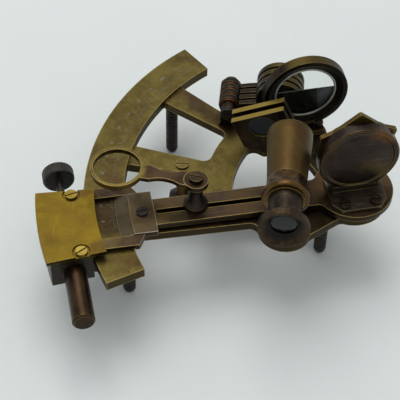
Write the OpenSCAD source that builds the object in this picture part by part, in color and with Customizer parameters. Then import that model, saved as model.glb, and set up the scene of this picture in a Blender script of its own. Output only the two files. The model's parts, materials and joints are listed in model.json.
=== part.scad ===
// A small brass sextant with a limb of 100 mm radius, standing on its three legs.
// Lengths are in millimetres, with the table at z = 0.

/* [Limb and frame] */
// Radius of the limb's outer edge, from the pivot
limb_r = 100; // [97:0.5:103]
// Width of the limb along its radius
limb_w = 14.7; // [13.5:0.1:16]
// Thickness of the limb
limb_t = 4; // [3.2:0.2:5]
// Height of the limb's top face above the table
limb_top = 33; // [30:1:38]
// Angle from the pivot to the far end of the limb
limb_from = 130; // [127:1:132]
// Angle from the pivot to the near end of the limb
limb_to = 207.5; // [206:0.5:212]
// Thickness of the frame's arms, curve and lobes
web_t = 3.5; // [2.8:0.1:4.5]
// Step from the limb's top face down to the arms
web_drop = 1.5; // [1:0.1:2]
// Inner radius of the frame's inner curve
curve_r = 44.7; // [43:0.5:47]
// Width of the inner curve along its radius
curve_w = 10.8; // [9:0.1:12]
// Angle of the upper arm's middle line
upper_a = 143.2; // [142:0.1:145]
// Angle that the upper arm spans, seen from the pivot
upper_span = 7.3; // [6:0.1:8.5]
// Angle of the middle arm's middle line
middle_a = 168.3; // [166:0.1:170]
// Angle that the middle arm spans, seen from the pivot
middle_span = 6.9; // [6:0.1:8]
// Direction of the lower arm
lower_a = 189.8; // [189:0.1:190.5]
// Width of the lower arm
lower_w = 9; // [8:0.1:10]
// Radius of the boss round the pivot
boss_r = 12.7; // [12:0.1:13.5]
// Radius of the lobe that carries the telescope
scope_lobe_r = 9.8; // [9.4:0.1:11]
// Radius of the lobe that carries the horizon mirror
horizon_lobe_r = 9.5; // [8.5:0.1:11]
// Radius of the fillets where the arms meet
web_fillet = 3.2; // [1:0.1:4.5]

/* [Legs and handle] */
// Radius of a leg over its rings
leg_r = 2.4; // [2:0.1:2.8]
// Pitch of the rings that are turned on a leg
leg_pitch = 1.2; // [1:0.1:2]
// Radius of the handle's grip at its middle
grip_r = 4.6; // [4:0.1:5.5]
// Height of the grip's axis above the table
grip_z = 13; // [11:0.5:14]
// Radius of a handle pillar
pillar_r = 2.3; // [1.8:0.1:2.8]

/* [Index arm] */
// Direction of the index arm
arm_a = 191; // [187:0.5:193]
// Width of the index arm
arm_w = 12.4; // [11:0.1:13.5]
// Thickness of the index arm
arm_t = 2.4; // [2:0.1:3]
// Radius of the arm's round end at the pivot
arm_end_r = 14.8; // [14:0.1:16]
// Width of the slot along the arm
slot_w = 2; // [1.4:0.1:2.6]
// Outer width of the fork at the limb
fork_w = 29.2; // [28:0.1:30]
// Width of one rail of the fork
rail_w = 4.75; // [4:0.05:5.5]
// Length of the vernier plate along the arm
vernier_l = 13.9; // [12.5:0.1:15]
// Distance that the vernier plate reaches over the limb
vernier_lap = 3.2; // [2.4:0.1:4]
// Thickness of the vernier plate
vernier_t = 2.2; // [1.9:0.1:2.6]
// Radius of the index arm's axle
axle_r = 3; // [2.5:0.1:3.5]

/* [Clamp and tangent screw] */
// Angle between the index arm and the clamp at rest
box_turn = 1.3; // [0.8:0.1:1.6]
// Width of the cover plate at its inner edge
cover_w_in = 30.2; // [29.6:0.1:31]
// Width of the cover plate at its outer edge
cover_w_out = 33.5; // [33:0.1:35]
// Thickness of the cover plate
cover_t = 1.7; // [1.4:0.1:2.4]
// Height of the clamp block below its cover
box_h = 12.3; // [11.8:0.1:14]
// Distance from the limb's outer edge to the tangent screw's axis
tangent_out = 6.3; // [6:0.1:6.8]
// Radius of the tangent screw
tangent_r = 1.5; // [1.2:0.1:1.8]
// Radius of the knurled knob
knob_r = 6; // [5:0.1:7]
// Thickness of the knurled knob
knob_t = 5; // [4:0.1:6]
// Radius of the sleeve round the return spring
sleeve_r = 4.1; // [3.9:0.1:4.6]
// Length of the sleeve outside the block
sleeve_l = 22.5; // [18:0.5:26]

/* [Magnifier] */
// Distance from the pivot to the magnifier's post
post_at = 59.1; // [56:0.1:60]
// Height of the magnifier's ring above the index arm
magnifier_h = 12.4; // [11:0.1:14]
// Distance from the post to the centre of the ring
magnifier_l = 29.3; // [27:0.1:31]
// Outer radius of the magnifier's ring
magnifier_r = 9.8; // [9:0.1:11]

/* [Mirrors] */
// Height of the mirrors' centres and the telescope's axis above the limb
axis_h = 19; // [18.6:0.1:21]
// Direction that both mirrors face
mirror_a = 102; // [100:0.5:103]
// Outer radius of the index mirror's cell
cell_r = 15; // [14.2:0.1:15.3]
// Height of the bezel's point above the mirror's centre
bezel_point = 18.3; // [17.5:0.1:20]
// Outer radius of the horizon mirror's ring
horizon_r = 16.2; // [15.6:0.1:16.4]
// Radius of the glass that the horizon ring shows
horizon_glass_r = 12; // [11:0.1:12.6]

/* [Telescope] */
// Direction of the telescope
scope_a = 85.6; // [84:0.1:87]
// Radius of the telescope's body at its near end
scope_r_near = 6.8; // [6.7:0.1:7.2]
// Radius of the telescope's body at its far end
scope_r_far = 8.4; // [8:0.1:8.8]
// Length of the body beyond the middle of its holder
scope_l = 27.5; // [26:0.5:31]
// Radius of the draw tube
draw_r = 6; // [5.6:0.1:6.1]
// Distance from the middle of the holder to the rim of the eyecup
eye_l = 19; // [17:0.1:24]
// Radius of the eyecup
eyecup_r = 9.1; // [8.4:0.1:9.8]
// Length of the telescope's holder
holder_l = 6.6; // [5.5:0.1:7.5]

/* [Shades] */
// Thickness of a far shade
far_t = 2; // [1.6:0.1:2.2]
// Distance from one far shade to the next
far_pitch = 3.1; // [2.8:0.1:3.3]
// Distance from a far shade's pin to the middle of its glass
far_l = 19.8; // [19:0.1:21]
// Radius of a far shade round its glass
far_head_r = 9.1; // [8.4:0.1:9.4]
// Thickness of a near shade
near_t = 2.3; // [1.8:0.1:2.5]
// Distance from one near shade to the next
near_pitch = 4.7; // [4:0.1:4.9]
// Width of a near shade
near_w = 20.8; // [19:0.1:21.2]
// Height of a near shade above its pin
near_h = 16.6; // [16.4:0.1:17.6]

/* [Hidden] */
$fn = 64;
// Gap between flat faces that slide past each other
gap = 0.3;
// Gap between curved pieces that pass each other
pass = 0.4;
// Radial clearance of a shaft that runs in a hole
run = 0.05;
// Small screws
screw_head = 2.2;
screw_head_t = 1.4;
screw_r = 1.1;
slot_cut = 0.55;
cut = 0.05;
// The middle of the footprint, seen from the pivot
middle = [-50.98, 7.85];
limb_in = limb_r - limb_w;
web_top = limb_top - web_drop;
web_bot = web_top - web_t;
web_reach = limb_in + 5;
// Height of the handle screws' heads above the frame's arms, which the index arm passes over
head_proud = 0.8;
arm_bot = web_top + head_proud + gap;
arm_top = arm_bot + arm_t;
fork_bot = limb_top + gap;
axis_z = limb_top + axis_h;
curve_out = curve_r + curve_w;
// The fork, the vernier and the clamp, along the arm
vernier_out = limb_in + vernier_lap;
vernier_in = vernier_out - vernier_l;
base_out = limb_in - 0.8;
fork_end = limb_r - 1;
fork_bar_w = 3;
fork_flare = 7.4;
fork_neck = 4.2;
fork_waist = 18;
slot_from = 30;
slot_to = vernier_in - 1.5;
vernier_at = vernier_in + 4.5;
cover_in = limb_r - 4.2;
cover_reach = 17.3;
cover_out = limb_r + cover_reach;
cover_bot = arm_top + gap;
cover_top = cover_bot + cover_t;
box_a = arm_a + box_turn;
box_in = limb_r + pass;
box_out = cover_out - 1.5;
box_step = 0.8;
box_bot = cover_bot - box_h;
jaw_in = limb_r - 7.5;
jaw_top = limb_top - limb_t - pass;
jaw_half = 11;
tangent_at = limb_r + tangent_out;
tangent_z = box_bot + 5.5;
lug_w = 5;
lug_y = -tangent_at * tan(box_turn);
lug_travel = 2.3;
lug_half = lug_w / 2 + lug_travel + 0.5;
lug_out = tangent_at + 3;
lug_bot = box_bot + 2.5;
knob_gap = 13;
plunger_r = 2.4;
plunger_head = 1.6;
sleeve_wall = 1;
sleeve_bore = sleeve_r - sleeve_wall;
box_side = cover_w_out / 2 - box_step;
plunger_from = lug_y + lug_w / 2 + 0.1;
plunger_seat = plunger_from + 3.5 + lug_half;
plunger_to = plunger_from + 12;
spring_r = plunger_r - 0.2;
spring_wire = 1;
cover_screw_r = limb_r + 4.2;
cover_screw_edge = 1.5;
cover_seat = 0.7;
cover_screw_a = asin((cover_w_in / 2 - cover_screw_edge) / cover_screw_r);
clamp_at = limb_r - 3;
clamp_r = 1.5;
clamp_knob_r = 4.5;
clamp_drop = 10;
shoe_pocket = 2;
shoe_drop = 1.5;
shoe_gap = 0.05;
shoe_l = 6;
shoe_w = 10;
// The legs: far, near and pivot
leg_over = 0.4;
leg_spots = [polar(limb_in + leg_over, 143.45), polar(limb_in + leg_over, 195.5), [-9.9, -1.4]];
leg_pad = leg_r + 1.4;
// The handle's two pillars, on the middle arm and on the pivot boss
pillar_spots = [[-63.7, 13], [-8.2, 5.6]];
handle_screw_r = 2.6;
handle_seat = screw_head_t - head_proud;
handle_run = pillar_spots[1] - pillar_spots[0];
handle_len = norm(handle_run);
handle_a = atan2(handle_run.y, handle_run.x);
// The lobes
scope_lobe = [-25.5, -16.3];
horizon_lobe = [-17.5, 31];
horizon_web_w = 12;
bush_wall = 2.2;
bush_r = axle_r + run + bush_wall;
bush_flange = 1.4;
nut_r = 5.4;
nut_h = 3;
// The index mirror stands on the arm over the pivot
mirror_base_t = 1.5;
cell_back = 2.6;
cell_depth = 4.6;
bezel_t = 1.6;
bezel_half = 14.4;
mirror_screw_x = 5.8;
mirror_screw_y = -9.2;
mirror_step = 2.6;
mirror_foot_half = 8.5;
mirror_base_half = 10.4;
mirror_base_front = 12.2;
mirror_base_clip = [3.2, 3.8];
index_glass_r = 12.4;
index_glass_t = 1.8;
// The horizon mirror
horizon_at = [-18, 33];
horizon_t = 4;
horizon_foot_w = 16.6;
horizon_foot_t = 2.4;
horizon_glass_t = 1.5;
horizon_lip = 1.6;
horizon_screw_x = 6.6;
// The telescope
scope_at = [-26.3, -17.5];
scope_bore_r = draw_r + run;
holder_wall = 1.9;
holder_r = scope_r_near + holder_wall;
holder_lip = 1.6;
holder_foot_w = 8;
holder_foot_t = 2.4;
holder_screw_x = 2.3;
holder_screw_y = -holder_l / 2 - 1.9;
holder_screw_head = 1.6;
scope_stub = holder_lip + 0.4;
scope_wall = 1.1;
lens_in = 4.2;
draw_to = 4.5;
eyecup_l = 5.2;
eye_lens_r = 4.7;
// The shades
far_pin = [-46.5, 36];
far_pin_z = limb_top + 6;
far_hub_r = 4;
far_lean = 12;
far_fan = 0.6;
far_count = 4;
far_first = 2.1;
// Offset of the far stack along its pin, so that it stands clear of the horizon ring
far_shift = 1.2;
far_post_t = 3;
far_stack = far_first + (far_count - 1) * far_pitch + far_t / 2;
far_glass_r = 6;
shade_pin_r = 1.3;
near_pin = [-29.5, 19.75];
near_pin_z = limb_top + 3.9;
near_lean = 23.8;
near_count = 2;
near_glass_r = 5;
near_glass_v = 10.9;
near_first = 2.1;
post_gap = 0.3;
// Offset of the near stack along its pin, towards the telescope
near_shift = -2.35;
near_post_t = 3;
near_post_at = near_first + (near_count - 1) * near_pitch + near_t / 2 + post_gap;
// The magnifier
post_side = -1.1;
post_r = 4.5;
post_spot = [post_at * cos(arm_a) - post_side * sin(arm_a), post_at * sin(arm_a) + post_side * cos(arm_a)];
magnifier_z = arm_top + magnifier_h;
magnifier_t = 2.2;
magnifier_a = 169;
magnifier_glass_r = magnifier_r - 1.2;
magnifier_pin_r = 1.2;
magnifier_waist = 3.8;
magnifier_waist_r = 11.4;
magnifier_screw_r = 2.6;

function polar(r, a) = [r * cos(a), r * sin(a)];

// Puts the middle of the footprint at the origin
module placed() {
  translate([-middle.x, -middle.y, 0]) children();
}

module up(z) {
  translate([0, 0, z]) children();
}

// A stretch of a flat ring round the pivot, from angle a0 to angle a1
module ring_sector(r0, r1, a0, a1, z0, z1) {
  rotate([0, 0, a0]) rotate_extrude(angle = a1 - a0, $fn = 128) translate([r0, z0]) square([r1 - r0, z1 - z0]);
}

module at_arm() {
  rotate([0, 0, arm_a]) children();
}

module at_box() {
  rotate([0, 0, box_a]) children();
}

// A bar along +x, whose y is its middle
module bar(x0, x1, w, z0, z1) {
  translate([x0, -w / 2, z0]) cube([x1 - x0, w, z1 - z0]);
}

module tube(r_out, r_in, h) {
  difference() {
    cylinder(r = r_out, h = h);
    up(-cut) cylinder(r = r_in, h = h + 2 * cut);
  }
}

// A slotted cheese head that faces up, on a shank below
module cheese_screw(r, t, shank_r, shank_l) {
  difference() {
    cylinder(r = r, h = t);
    translate([-r - cut, -slot_cut / 2, t * 0.5]) cube([2 * r + 2 * cut, slot_cut, t]);
  }
  up(-shank_l) cylinder(r = shank_r, h = shank_l + cut);
}

// A cylinder along +y, from y0 to y1
module along_y(r, y0, y1) {
  translate([0, y0, 0]) rotate([-90, 0, 0]) cylinder(r = r, h = y1 - y0);
}

module at_scope() {
  translate([scope_at.x, scope_at.y, axis_z]) rotate([0, 0, scope_a - 90]) children();
}

// The two screws of the telescope's foot, at height z
module at_holder_screws(z) {
  at_scope() for (s = [-1, 1]) translate([s * holder_screw_x, holder_screw_y, z - axis_z]) children();
}

module at_index_mirror() {
  translate([0, 0, axis_z]) rotate([0, 0, mirror_a - 90]) children();
}

module at_horizon() {
  translate([horizon_at.x, horizon_at.y, axis_z]) rotate([0, 0, mirror_a - 90]) children();
}

module at_far_pin() {
  translate([far_pin.x, far_pin.y, far_pin_z]) rotate([0, 0, scope_a - 90]) children();
}

module at_near_pin() {
  translate([near_pin.x, near_pin.y, near_pin_z]) rotate([0, 0, scope_a - 90]) children();
}

// Outline of the arms, the curve, the boss and the lobes
module web_outline() {
  offset(r = -web_fillet) offset(delta = web_fillet) {
    difference() {
      circle(r = curve_out, $fn = 128);
      circle(r = curve_r, $fn = 128);
      rotate(upper_a) translate([-limb_r, -2 * limb_r]) square([2 * limb_r, 2 * limb_r]);
      rotate(lower_a) translate([-limb_r, lower_w / 2]) square([2 * limb_r, 2 * limb_r]);
      translate([0, -limb_r]) square(2 * limb_r);
    }
    spoke(upper_a, upper_span, curve_r, web_reach + 3);
    spoke(middle_a, middle_span, curve_r + 1, web_reach + 3);
    upper_root();
    rotate(lower_a) translate([0, -0.1]) square([web_reach + 3, lower_w]);
    circle(r = boss_r);
    translate(scope_lobe) circle(r = scope_lobe_r);
    scope_neck();
    translate(horizon_lobe) circle(r = horizon_lobe_r);
    rotate(atan2(horizon_lobe.y, horizon_lobe.x)) translate([0, -horizon_web_w / 2])
      square([norm(horizon_lobe), horizon_web_w]);
  }
  for (spot = leg_spots) translate(spot) circle(r = leg_pad);
}

module spoke(a, span, r0, r1) {
  polygon([polar(r0, a - span / 2), polar(r1, a - span / 2), polar(r1, a + span / 2), polar(r0, a + span / 2)]);
}

// The upper arm's root, which runs into the horizon lobe
module upper_root() {
  polygon([polar(curve_r + 1, upper_a - upper_span / 2), horizon_lobe + polar(horizon_lobe_r, 110),
    horizon_lobe + polar(horizon_lobe_r, 235), polar(curve_r - 5.7, upper_a + upper_span / 2),
    polar(curve_r + 1, upper_a + upper_span / 2)]);
}

// The neck between the telescope lobe and the pivot boss
module scope_neck() {
  polygon([scope_lobe + polar(scope_lobe_r * 0.9, -60), polar(boss_r * 0.95, 250), polar(boss_r * 0.95, 150),
    scope_lobe + polar(scope_lobe_r * 0.9, 120)]);
}

module frame() {
  placed() color("darkkhaki") difference() {
    union() {
      ring_sector(limb_in, limb_r, limb_from, limb_to, limb_top - limb_t, limb_top);
      up(web_bot) linear_extrude(web_t) intersection() {
        web_outline();
        circle(r = web_reach, $fn = 128);
      }
    }
    up(web_bot - 1) cylinder(r = bush_r, h = limb_top);
    for (spot = pillar_spots) translate([spot.x, spot.y, 0]) {
      up(web_bot - 1) cylinder(r = screw_r, h = web_t + 2);
      up(web_top - handle_seat) cylinder(r = handle_screw_r + run, h = 2 * screw_head_t);
    }
    at_holder_screws(web_bot - 1) cylinder(r = screw_r, h = web_t + 2);
    for (s = [-1, 1]) at_horizon() translate([s * horizon_screw_x, 0, -limb_top])
      cylinder(r = screw_r, h = limb_top);
  }
}

// A turned leg: a rounded foot with a flat end, then rings up to the frame
module leg(top) {
  groove = 0.35;
  rings = floor((top - leg_r - 1) / leg_pitch);
  steps = [for (i = [0:rings - 1]) each [[leg_r, leg_r + i * leg_pitch],
    [leg_r, leg_r + (i + 0.55) * leg_pitch], [leg_r - groove, leg_r + (i + 0.8) * leg_pitch]]];
  foot = [for (a = [-60:15:-15]) [leg_r * cos(a), leg_r + leg_r * sin(a) / sin(60)]];
  rotate_extrude() polygon(concat([[0, 0]], foot, steps,
    [[leg_r, leg_r + rings * leg_pitch], [leg_r, top], [0, top]]));
}

module legs() {
  placed() color("dimgray") for (spot = leg_spots) translate([spot.x, spot.y, 0]) leg(web_bot);
}

module at_handle() {
  translate([pillar_spots[0].x, pillar_spots[0].y, grip_z]) rotate([0, 0, handle_a]) rotate([0, 90, 0]) children();
}

module handle_grip() {
  tip = 3.2;
  neck = 3.4;
  placed() color("saddlebrown") at_handle() difference() {
    rotate_extrude() polygon([[0, -tip - 1.6], [neck - 1, -tip - 1.6], [neck, -tip], [neck, tip],
      [grip_r - 0.7, tip + 5], [grip_r, handle_len / 2], [grip_r - 0.7, handle_len - tip - 5],
      [neck, handle_len - tip], [neck, handle_len + tip], [neck - 1, handle_len + tip + 1.6],
      [0, handle_len + tip + 1.6]]);
    for (x = [0, handle_len]) translate([0, 0, x]) rotate([0, -90, 0]) up(-2)
      cylinder(r = pillar_r, h = 2 * grip_r);
  }
}

module handle_pillars() {
  placed() color("darkkhaki") for (spot = pillar_spots) translate([spot.x, spot.y, 0]) difference() {
    union() {
      up(grip_z - 2) cylinder(r = pillar_r, h = web_bot - grip_z + 2);
      up(web_bot - 1.4) cylinder(r = pillar_r + 1.3, h = 1.4);
    }
    up(web_bot - 4) cylinder(r = screw_r, h = 5);
  }
}

module handle_screws() {
  placed() color("goldenrod") for (spot = pillar_spots) translate([spot.x, spot.y, web_top - handle_seat])
    cheese_screw(handle_screw_r, screw_head_t, screw_r, web_t - handle_seat + 3.5);
}

module pivot_bush() {
  placed() color("peru") up(web_bot - bush_flange) difference() {
    union() {
      cylinder(r = bush_r, h = web_t + bush_flange + head_proud);
      cylinder(r = bush_r + 0.6, h = bush_flange);
    }
    up(-1) cylinder(r = axle_r + run, h = web_t + bush_flange + head_proud + 2);
  }
}

// The flared collar that holds the telescope, on its foot
module telescope_holder() {
  near = -holder_l / 2 - holder_lip;
  far = holder_l / 2;
  placed() color("peru") difference() {
    union() {
      at_scope() rotate([-90, 0, 0]) rotate_extrude() polygon([[0, near], [holder_r - 0.9, near],
        [holder_r - 0.3, near + 0.3], [holder_r, near + 1], [holder_r, near + 1.6],
        [holder_r - 0.2, near + 2.4],
        [holder_r - 0.6, near + 3.3], [holder_r - 1, near + 4.3], [holder_r - 1.3, near + 5.6],
        [holder_r - 1.45, far], [0, far]]);
      at_scope() translate([-holder_foot_w / 2, -holder_l / 2, web_top - axis_z])
        cube([holder_foot_w, holder_l - 2.1, axis_h - 4]);
      at_scope() translate([-holder_foot_w / 2 - 0.6, -holder_l / 2 - 3.6, web_top - axis_z])
        cube([holder_foot_w + 1.2, holder_l + 1.5, holder_foot_t]);
    }
    at_scope() along_y(scope_r_near, near - 1, far + 1);
    at_holder_screws(web_top - 1) cylinder(r = screw_r, h = holder_foot_t + 2);
  }
}

module holder_screws() {
  placed() color("dimgray") at_holder_screws(web_top + holder_foot_t)
    cheese_screw(holder_screw_head, 1.1, screw_r, holder_foot_t + web_t - 0.5);
}

// The telescope's body: a straight seat in the collar, then a taper out to the far end
module telescope_body() {
  wall = scope_wall;
  seat = holder_l / 2;
  placed() color("peru") at_scope() rotate([-90, 0, 0]) rotate_extrude() polygon([
    [scope_bore_r, -seat - scope_stub], [scope_r_near, -seat - scope_stub], [scope_r_near, seat],
    [scope_r_near + 0.35, seat + 0.2], [scope_r_near + 0.5, seat + 3], [scope_r_far - 0.35, scope_l - 9],
    [scope_r_far, scope_l - 4], [scope_r_far, scope_l - 0.6], [scope_r_far - 0.4, scope_l],
    [scope_r_far - wall, scope_l], [scope_r_far - wall, scope_l - lens_in],
    [scope_r_far - wall - 0.7, scope_l - lens_in], [scope_r_far - wall - 0.7, scope_l - lens_in - 1.2],
    [scope_bore_r, draw_to + 3]]);
}

module objective_lens() {
  placed() color("lightcyan") at_scope() rotate([-90, 0, 0]) rotate_extrude() polygon([[0, scope_l - lens_in],
    [scope_r_far - scope_wall, scope_l - lens_in], [scope_r_far - scope_wall, scope_l - lens_in + 1.4],
    [scope_r_far * 0.6, scope_l - lens_in + 2], [0, scope_l - lens_in + 2.3]]);
}

// The draw tube runs in the body; it carries the eyecup
module draw_tube() {
  wall = 1;
  placed() color("sienna") at_scope() rotate([-90, 0, 0]) rotate_extrude() polygon([
    [draw_r - wall, -eye_l + eyecup_l], [draw_r, -eye_l + eyecup_l], [draw_r, draw_to],
    [draw_r - wall, draw_to]]);
}

module eyecup() {
  placed() color("dimgray") at_scope() rotate([-90, 0, 0]) rotate_extrude() polygon([
    [eye_lens_r - 1, -eye_l + 3.2], [eye_lens_r, -eye_l + 3.2], [eye_lens_r, -eye_l + 2.4],
    [eyecup_r - 1.1, -eye_l], [eyecup_r, -eye_l], [eyecup_r, -eye_l + 2.6], [draw_r + 0.5, -eye_l + eyecup_l],
    [eye_lens_r - 1, -eye_l + eyecup_l]]);
}

module eye_lens() {
  placed() color("lightcyan") at_scope() rotate([-90, 0, 0]) rotate_extrude() polygon([[0, -eye_l + 2.5],
    [eye_lens_r * 0.6, -eye_l + 2.6], [eye_lens_r, -eye_l + 2.9], [eye_lens_r, -eye_l + 3.2],
    [0, -eye_l + 3.2]]);
}

// The horizon mirror's foot: a base plate with two thin leaves on it
module horizon_foot() {
  placed() color("saddlebrown") at_horizon() up(web_top - axis_z) difference() {
    union() {
      translate([-horizon_foot_w / 2, -4.4, 0]) cube([horizon_foot_w, 8.8, horizon_foot_t * 0.4]);
      translate([-horizon_foot_w / 2 + 0.5, -3.9, 0]) cube([horizon_foot_w - 1, 7.8, horizon_foot_t * 0.7]);
      translate([-horizon_foot_w / 2, -3.6, horizon_foot_t * 0.7])
        cube([horizon_foot_w, 7.2, horizon_foot_t * 0.3]);
    }
    for (s = [-1, 1]) translate([s * horizon_screw_x, 0, -1]) cylinder(r = screw_r, h = horizon_foot_t + 2);
  }
}

module horizon_screws() {
  placed() color("dimgray") at_horizon() for (s = [-1, 1])
    translate([s * horizon_screw_x, 0, web_top + horizon_foot_t - axis_z])
      cheese_screw(screw_head - 0.2, 1.2, screw_r, horizon_foot_t + web_t - 0.5);
}

// The ring of the horizon mirror with its neck
module horizon_ring() {
  neck_w = 8.4;
  neck_top = 4.6;
  seat_z = web_top + horizon_foot_t - axis_z;
  placed() color("sienna") at_horizon() difference() {
    union() {
      along_y(horizon_r, -horizon_t / 2, horizon_t / 2);
      translate([-neck_w / 2, -horizon_t / 2 - 0.8, seat_z]) cube([neck_w, horizon_t + 1.6, neck_top]);
    }
    rotate([-90, 0, 0]) rotate_extrude() polygon([[0, -horizon_t], [horizon_r - horizon_lip, -horizon_t],
      [horizon_r - horizon_lip, -horizon_t / 2], [horizon_glass_r + 0.6, -horizon_t / 2 + 1],
      [horizon_glass_r, -horizon_t / 2 + 1.2], [horizon_glass_r, -0.2], [horizon_glass_r + 1, -0.2],
      [horizon_glass_r + 1, horizon_t], [0, horizon_t]]);
  }
}

module horizon_glass() {
  placed() color("lightcyan") at_horizon() along_y(horizon_glass_r + 1, -0.2, -0.2 + horizon_glass_t);
}

// The silvering on the back of the lower half of the glass
module horizon_silvering() {
  placed() color("silver") at_horizon() intersection() {
    along_y(horizon_glass_r + 0.6, -0.2 + horizon_glass_t, 0.2 + horizon_glass_t);
    translate([-horizon_r, -horizon_r, -2 * horizon_r]) cube(2 * horizon_r);
  }
}

// A post on the upper arm that carries a shade pin at height h above the arm
module shade_post(w, t, h) {
  difference() {
    union() {
      translate([-w / 2, -t, -h]) cube([w, t, h]);
      along_y(w / 2, -t, 0);
      translate([-w / 2 - 0.5, -t, -h]) cube([w + 1, t + 0.4, 1.2]);
    }
    along_y(shade_pin_r, -t - 1, 1);
  }
}

module far_shade_post() {
  placed() color("saddlebrown") at_far_pin() translate([0, far_shift, 0])
    shade_post(6, far_post_t, far_pin_z - web_top);
}

// A pin with a slotted head at one end and a nut at the other
module shade_pin(y0, y1, head_r) {
  along_y(shade_pin_r, y0, y1);
  difference() {
    along_y(head_r, y0 - 1.6, y0);
    translate([-head_r, y0 - 1.7, -0.3]) cube([2 * head_r, 0.8, 0.6]);
  }
  along_y(head_r, y1, y1 + 1.6);
}

module far_shade_pin() {
  placed() color("dimgray") at_far_pin() translate([0, far_shift, 0])
    shade_pin(-far_post_t, far_stack + post_gap, 2.8);
}

module far_shade_washers() {
  gap_t = far_pitch - far_t;
  placed() color("indianred") at_far_pin() translate([0, far_shift, 0]) for (i = [0:far_count - 1])
    translate([0, far_first + i * far_pitch - far_t / 2 - gap_t + 0.05, 0]) rotate([-90, 0, 0])
      tube(far_hub_r - 0.3, shade_pin_r, gap_t - 0.1);
}

// A far shade: a hub, a curved arm and a round head; it points along +x before it is turned
module far_leaf() {
  bow = 22;
  arm_width = 4.4;
  drop = sqrt(bow * bow - far_l * far_l / 4);
  difference() {
    union() {
      along_y(far_hub_r, -far_t / 2, far_t / 2);
      translate([far_l, 0, 0]) along_y(far_head_r, -far_t / 2, far_t / 2);
      intersection() {
        translate([far_l / 2, 0, drop]) difference() {
          along_y(bow + arm_width / 2, -far_t / 2, far_t / 2);
          along_y(bow - arm_width / 2, -far_t, far_t);
        }
        translate([0, -far_t, -bow]) cube([far_l, 2 * far_t, bow]);
      }
    }
    along_y(shade_pin_r + run, -far_t, far_t);
    translate([far_l, 0, 0]) along_y(far_glass_r, -far_t, far_t);
  }
}

module turn_far(i) {
  at_far_pin() translate([0, far_shift + far_first + i * far_pitch, 0])
    rotate([0, -far_lean - i * far_fan, 0]) children();
}

module far_glass(i) {
  turn_far(i) translate([far_l, 0, 0]) along_y(far_glass_r, -far_t / 4, far_t / 4);
}

module far_shade_1() { placed() color("saddlebrown") turn_far(0) far_leaf(); }
module far_shade_2() { placed() color("peru") turn_far(1) far_leaf(); }
module far_shade_3() { placed() color("saddlebrown") turn_far(2) far_leaf(); }
module far_shade_4() { placed() color("peru") turn_far(3) far_leaf(); }
module far_glass_1() { placed() color("black") far_glass(0); }
module far_glass_2() { placed() color("darkgreen") far_glass(1); }
module far_glass_3() { placed() color("black") far_glass(2); }
module far_glass_4() { placed() color("darkred") far_glass(3); }

module near_shade_post() {
  placed() color("saddlebrown") at_near_pin() translate([0, near_post_at + near_shift + near_post_t, 0])
    shade_post(5.4, near_post_t, near_pin_z - web_top);
}

module near_shade_pin() {
  spacer = near_pitch - near_t;
  placed() color("dimgray") at_near_pin() translate([0, near_shift, 0]) {
    shade_pin(near_first - near_t / 2 - post_gap, near_post_at + near_post_t, 2.4);
    translate([0, near_first + near_t / 2 + 0.05, 0]) rotate([-90, 0, 0])
      tube(2.6, shade_pin_r, spacer - 0.1);
  }
}

// A near shade: a plate whose lower corners are clipped down to its pin; it points up before it is turned
module near_leaf() {
  foot = 3.2;
  half = near_w / 2;
  difference() {
    rotate([90, 0, 0]) translate([0, 0, -near_t / 2]) linear_extrude(near_t)
      polygon([[-half, near_h], [half, near_h], [half, 4.6], [3.5, -foot], [-3.5, -foot], [-half, 3]]);
    along_y(shade_pin_r + run, -near_t, near_t);
    up(near_glass_v) along_y(near_glass_r, -near_t, near_t);
  }
}

module turn_near(i) {
  at_near_pin() translate([0, near_shift + near_first + i * near_pitch, 0])
    rotate([0, -near_lean, 0]) children();
}

module near_glass(i) {
  turn_near(i) up(near_glass_v) along_y(near_glass_r, -near_t / 4, near_t / 4);
}

module near_shade_1() { placed() color("goldenrod") turn_near(0) near_leaf(); }
module near_shade_2() { placed() color("goldenrod") turn_near(1) near_leaf(); }
module near_glass_1() { placed() color("black") near_glass(0); }
module near_glass_2() { placed() color("black") near_glass(1); }

// The index arm: round end, slotted bar, fork with a thin seat for the vernier, and the tangent screw's lug
module index_arm() {
  fork_half = fork_w / 2;
  window_half = fork_half - rail_w;
  placed() color("saddlebrown") difference() {
    union() {
      up(arm_bot) linear_extrude(arm_t) arm_outline();
      at_arm() up(arm_bot) linear_extrude(arm_t) intersection() {
        fork_root(base_out);
        circle(r = limb_in - pass, $fn = 128);
      }
      at_arm() up(fork_bot) linear_extrude(arm_top - fork_bot) fork_root(fork_end);
      at_box() translate([limb_r - 3, lug_y - lug_w / 2, fork_bot])
        cube([lug_out - limb_r + 3, lug_w, arm_top - fork_bot]);
      at_box() translate([limb_r + 2 * pass, lug_y - lug_w / 2, lug_bot])
        cube([lug_out - limb_r - 2 * pass, lug_w, arm_top - lug_bot]);
    }
    at_arm() {
      translate([vernier_in, -window_half, fork_bot]) cube([base_out - vernier_in, 2 * window_half, arm_t]);
      translate([base_out, -window_half, arm_bot - 1])
        cube([fork_end - fork_bar_w - base_out, 2 * window_half, arm_t + 2]);
      translate([vernier_at, 0, arm_bot - 1]) cylinder(r = screw_r, h = arm_t + 2);
      arm_slot();
    }
    up(arm_bot - 1) cylinder(r = axle_r, h = arm_t + 2);
    at_index_mirror() for (s = [-1, 1]) translate([s * mirror_screw_x, mirror_screw_y, arm_bot - axis_z - 1])
      cylinder(r = screw_r, h = arm_t + 2);
    at_box() translate([tangent_at, 0, tangent_z]) along_y(tangent_r + 0.12, lug_y - lug_w, lug_y + lug_w);
  }
}

// The plan of the fork's flared root, out to x along the arm
module fork_root(x) {
  half = fork_w / 2;
  waist = fork_waist / 2;
  polygon([[vernier_in, -waist], [vernier_in + fork_neck, -waist], [vernier_in + fork_flare, -half], [x, -half],
    [x, half], [vernier_in + fork_flare, half], [vernier_in + fork_neck, waist], [vernier_in, waist]]);
}

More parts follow.
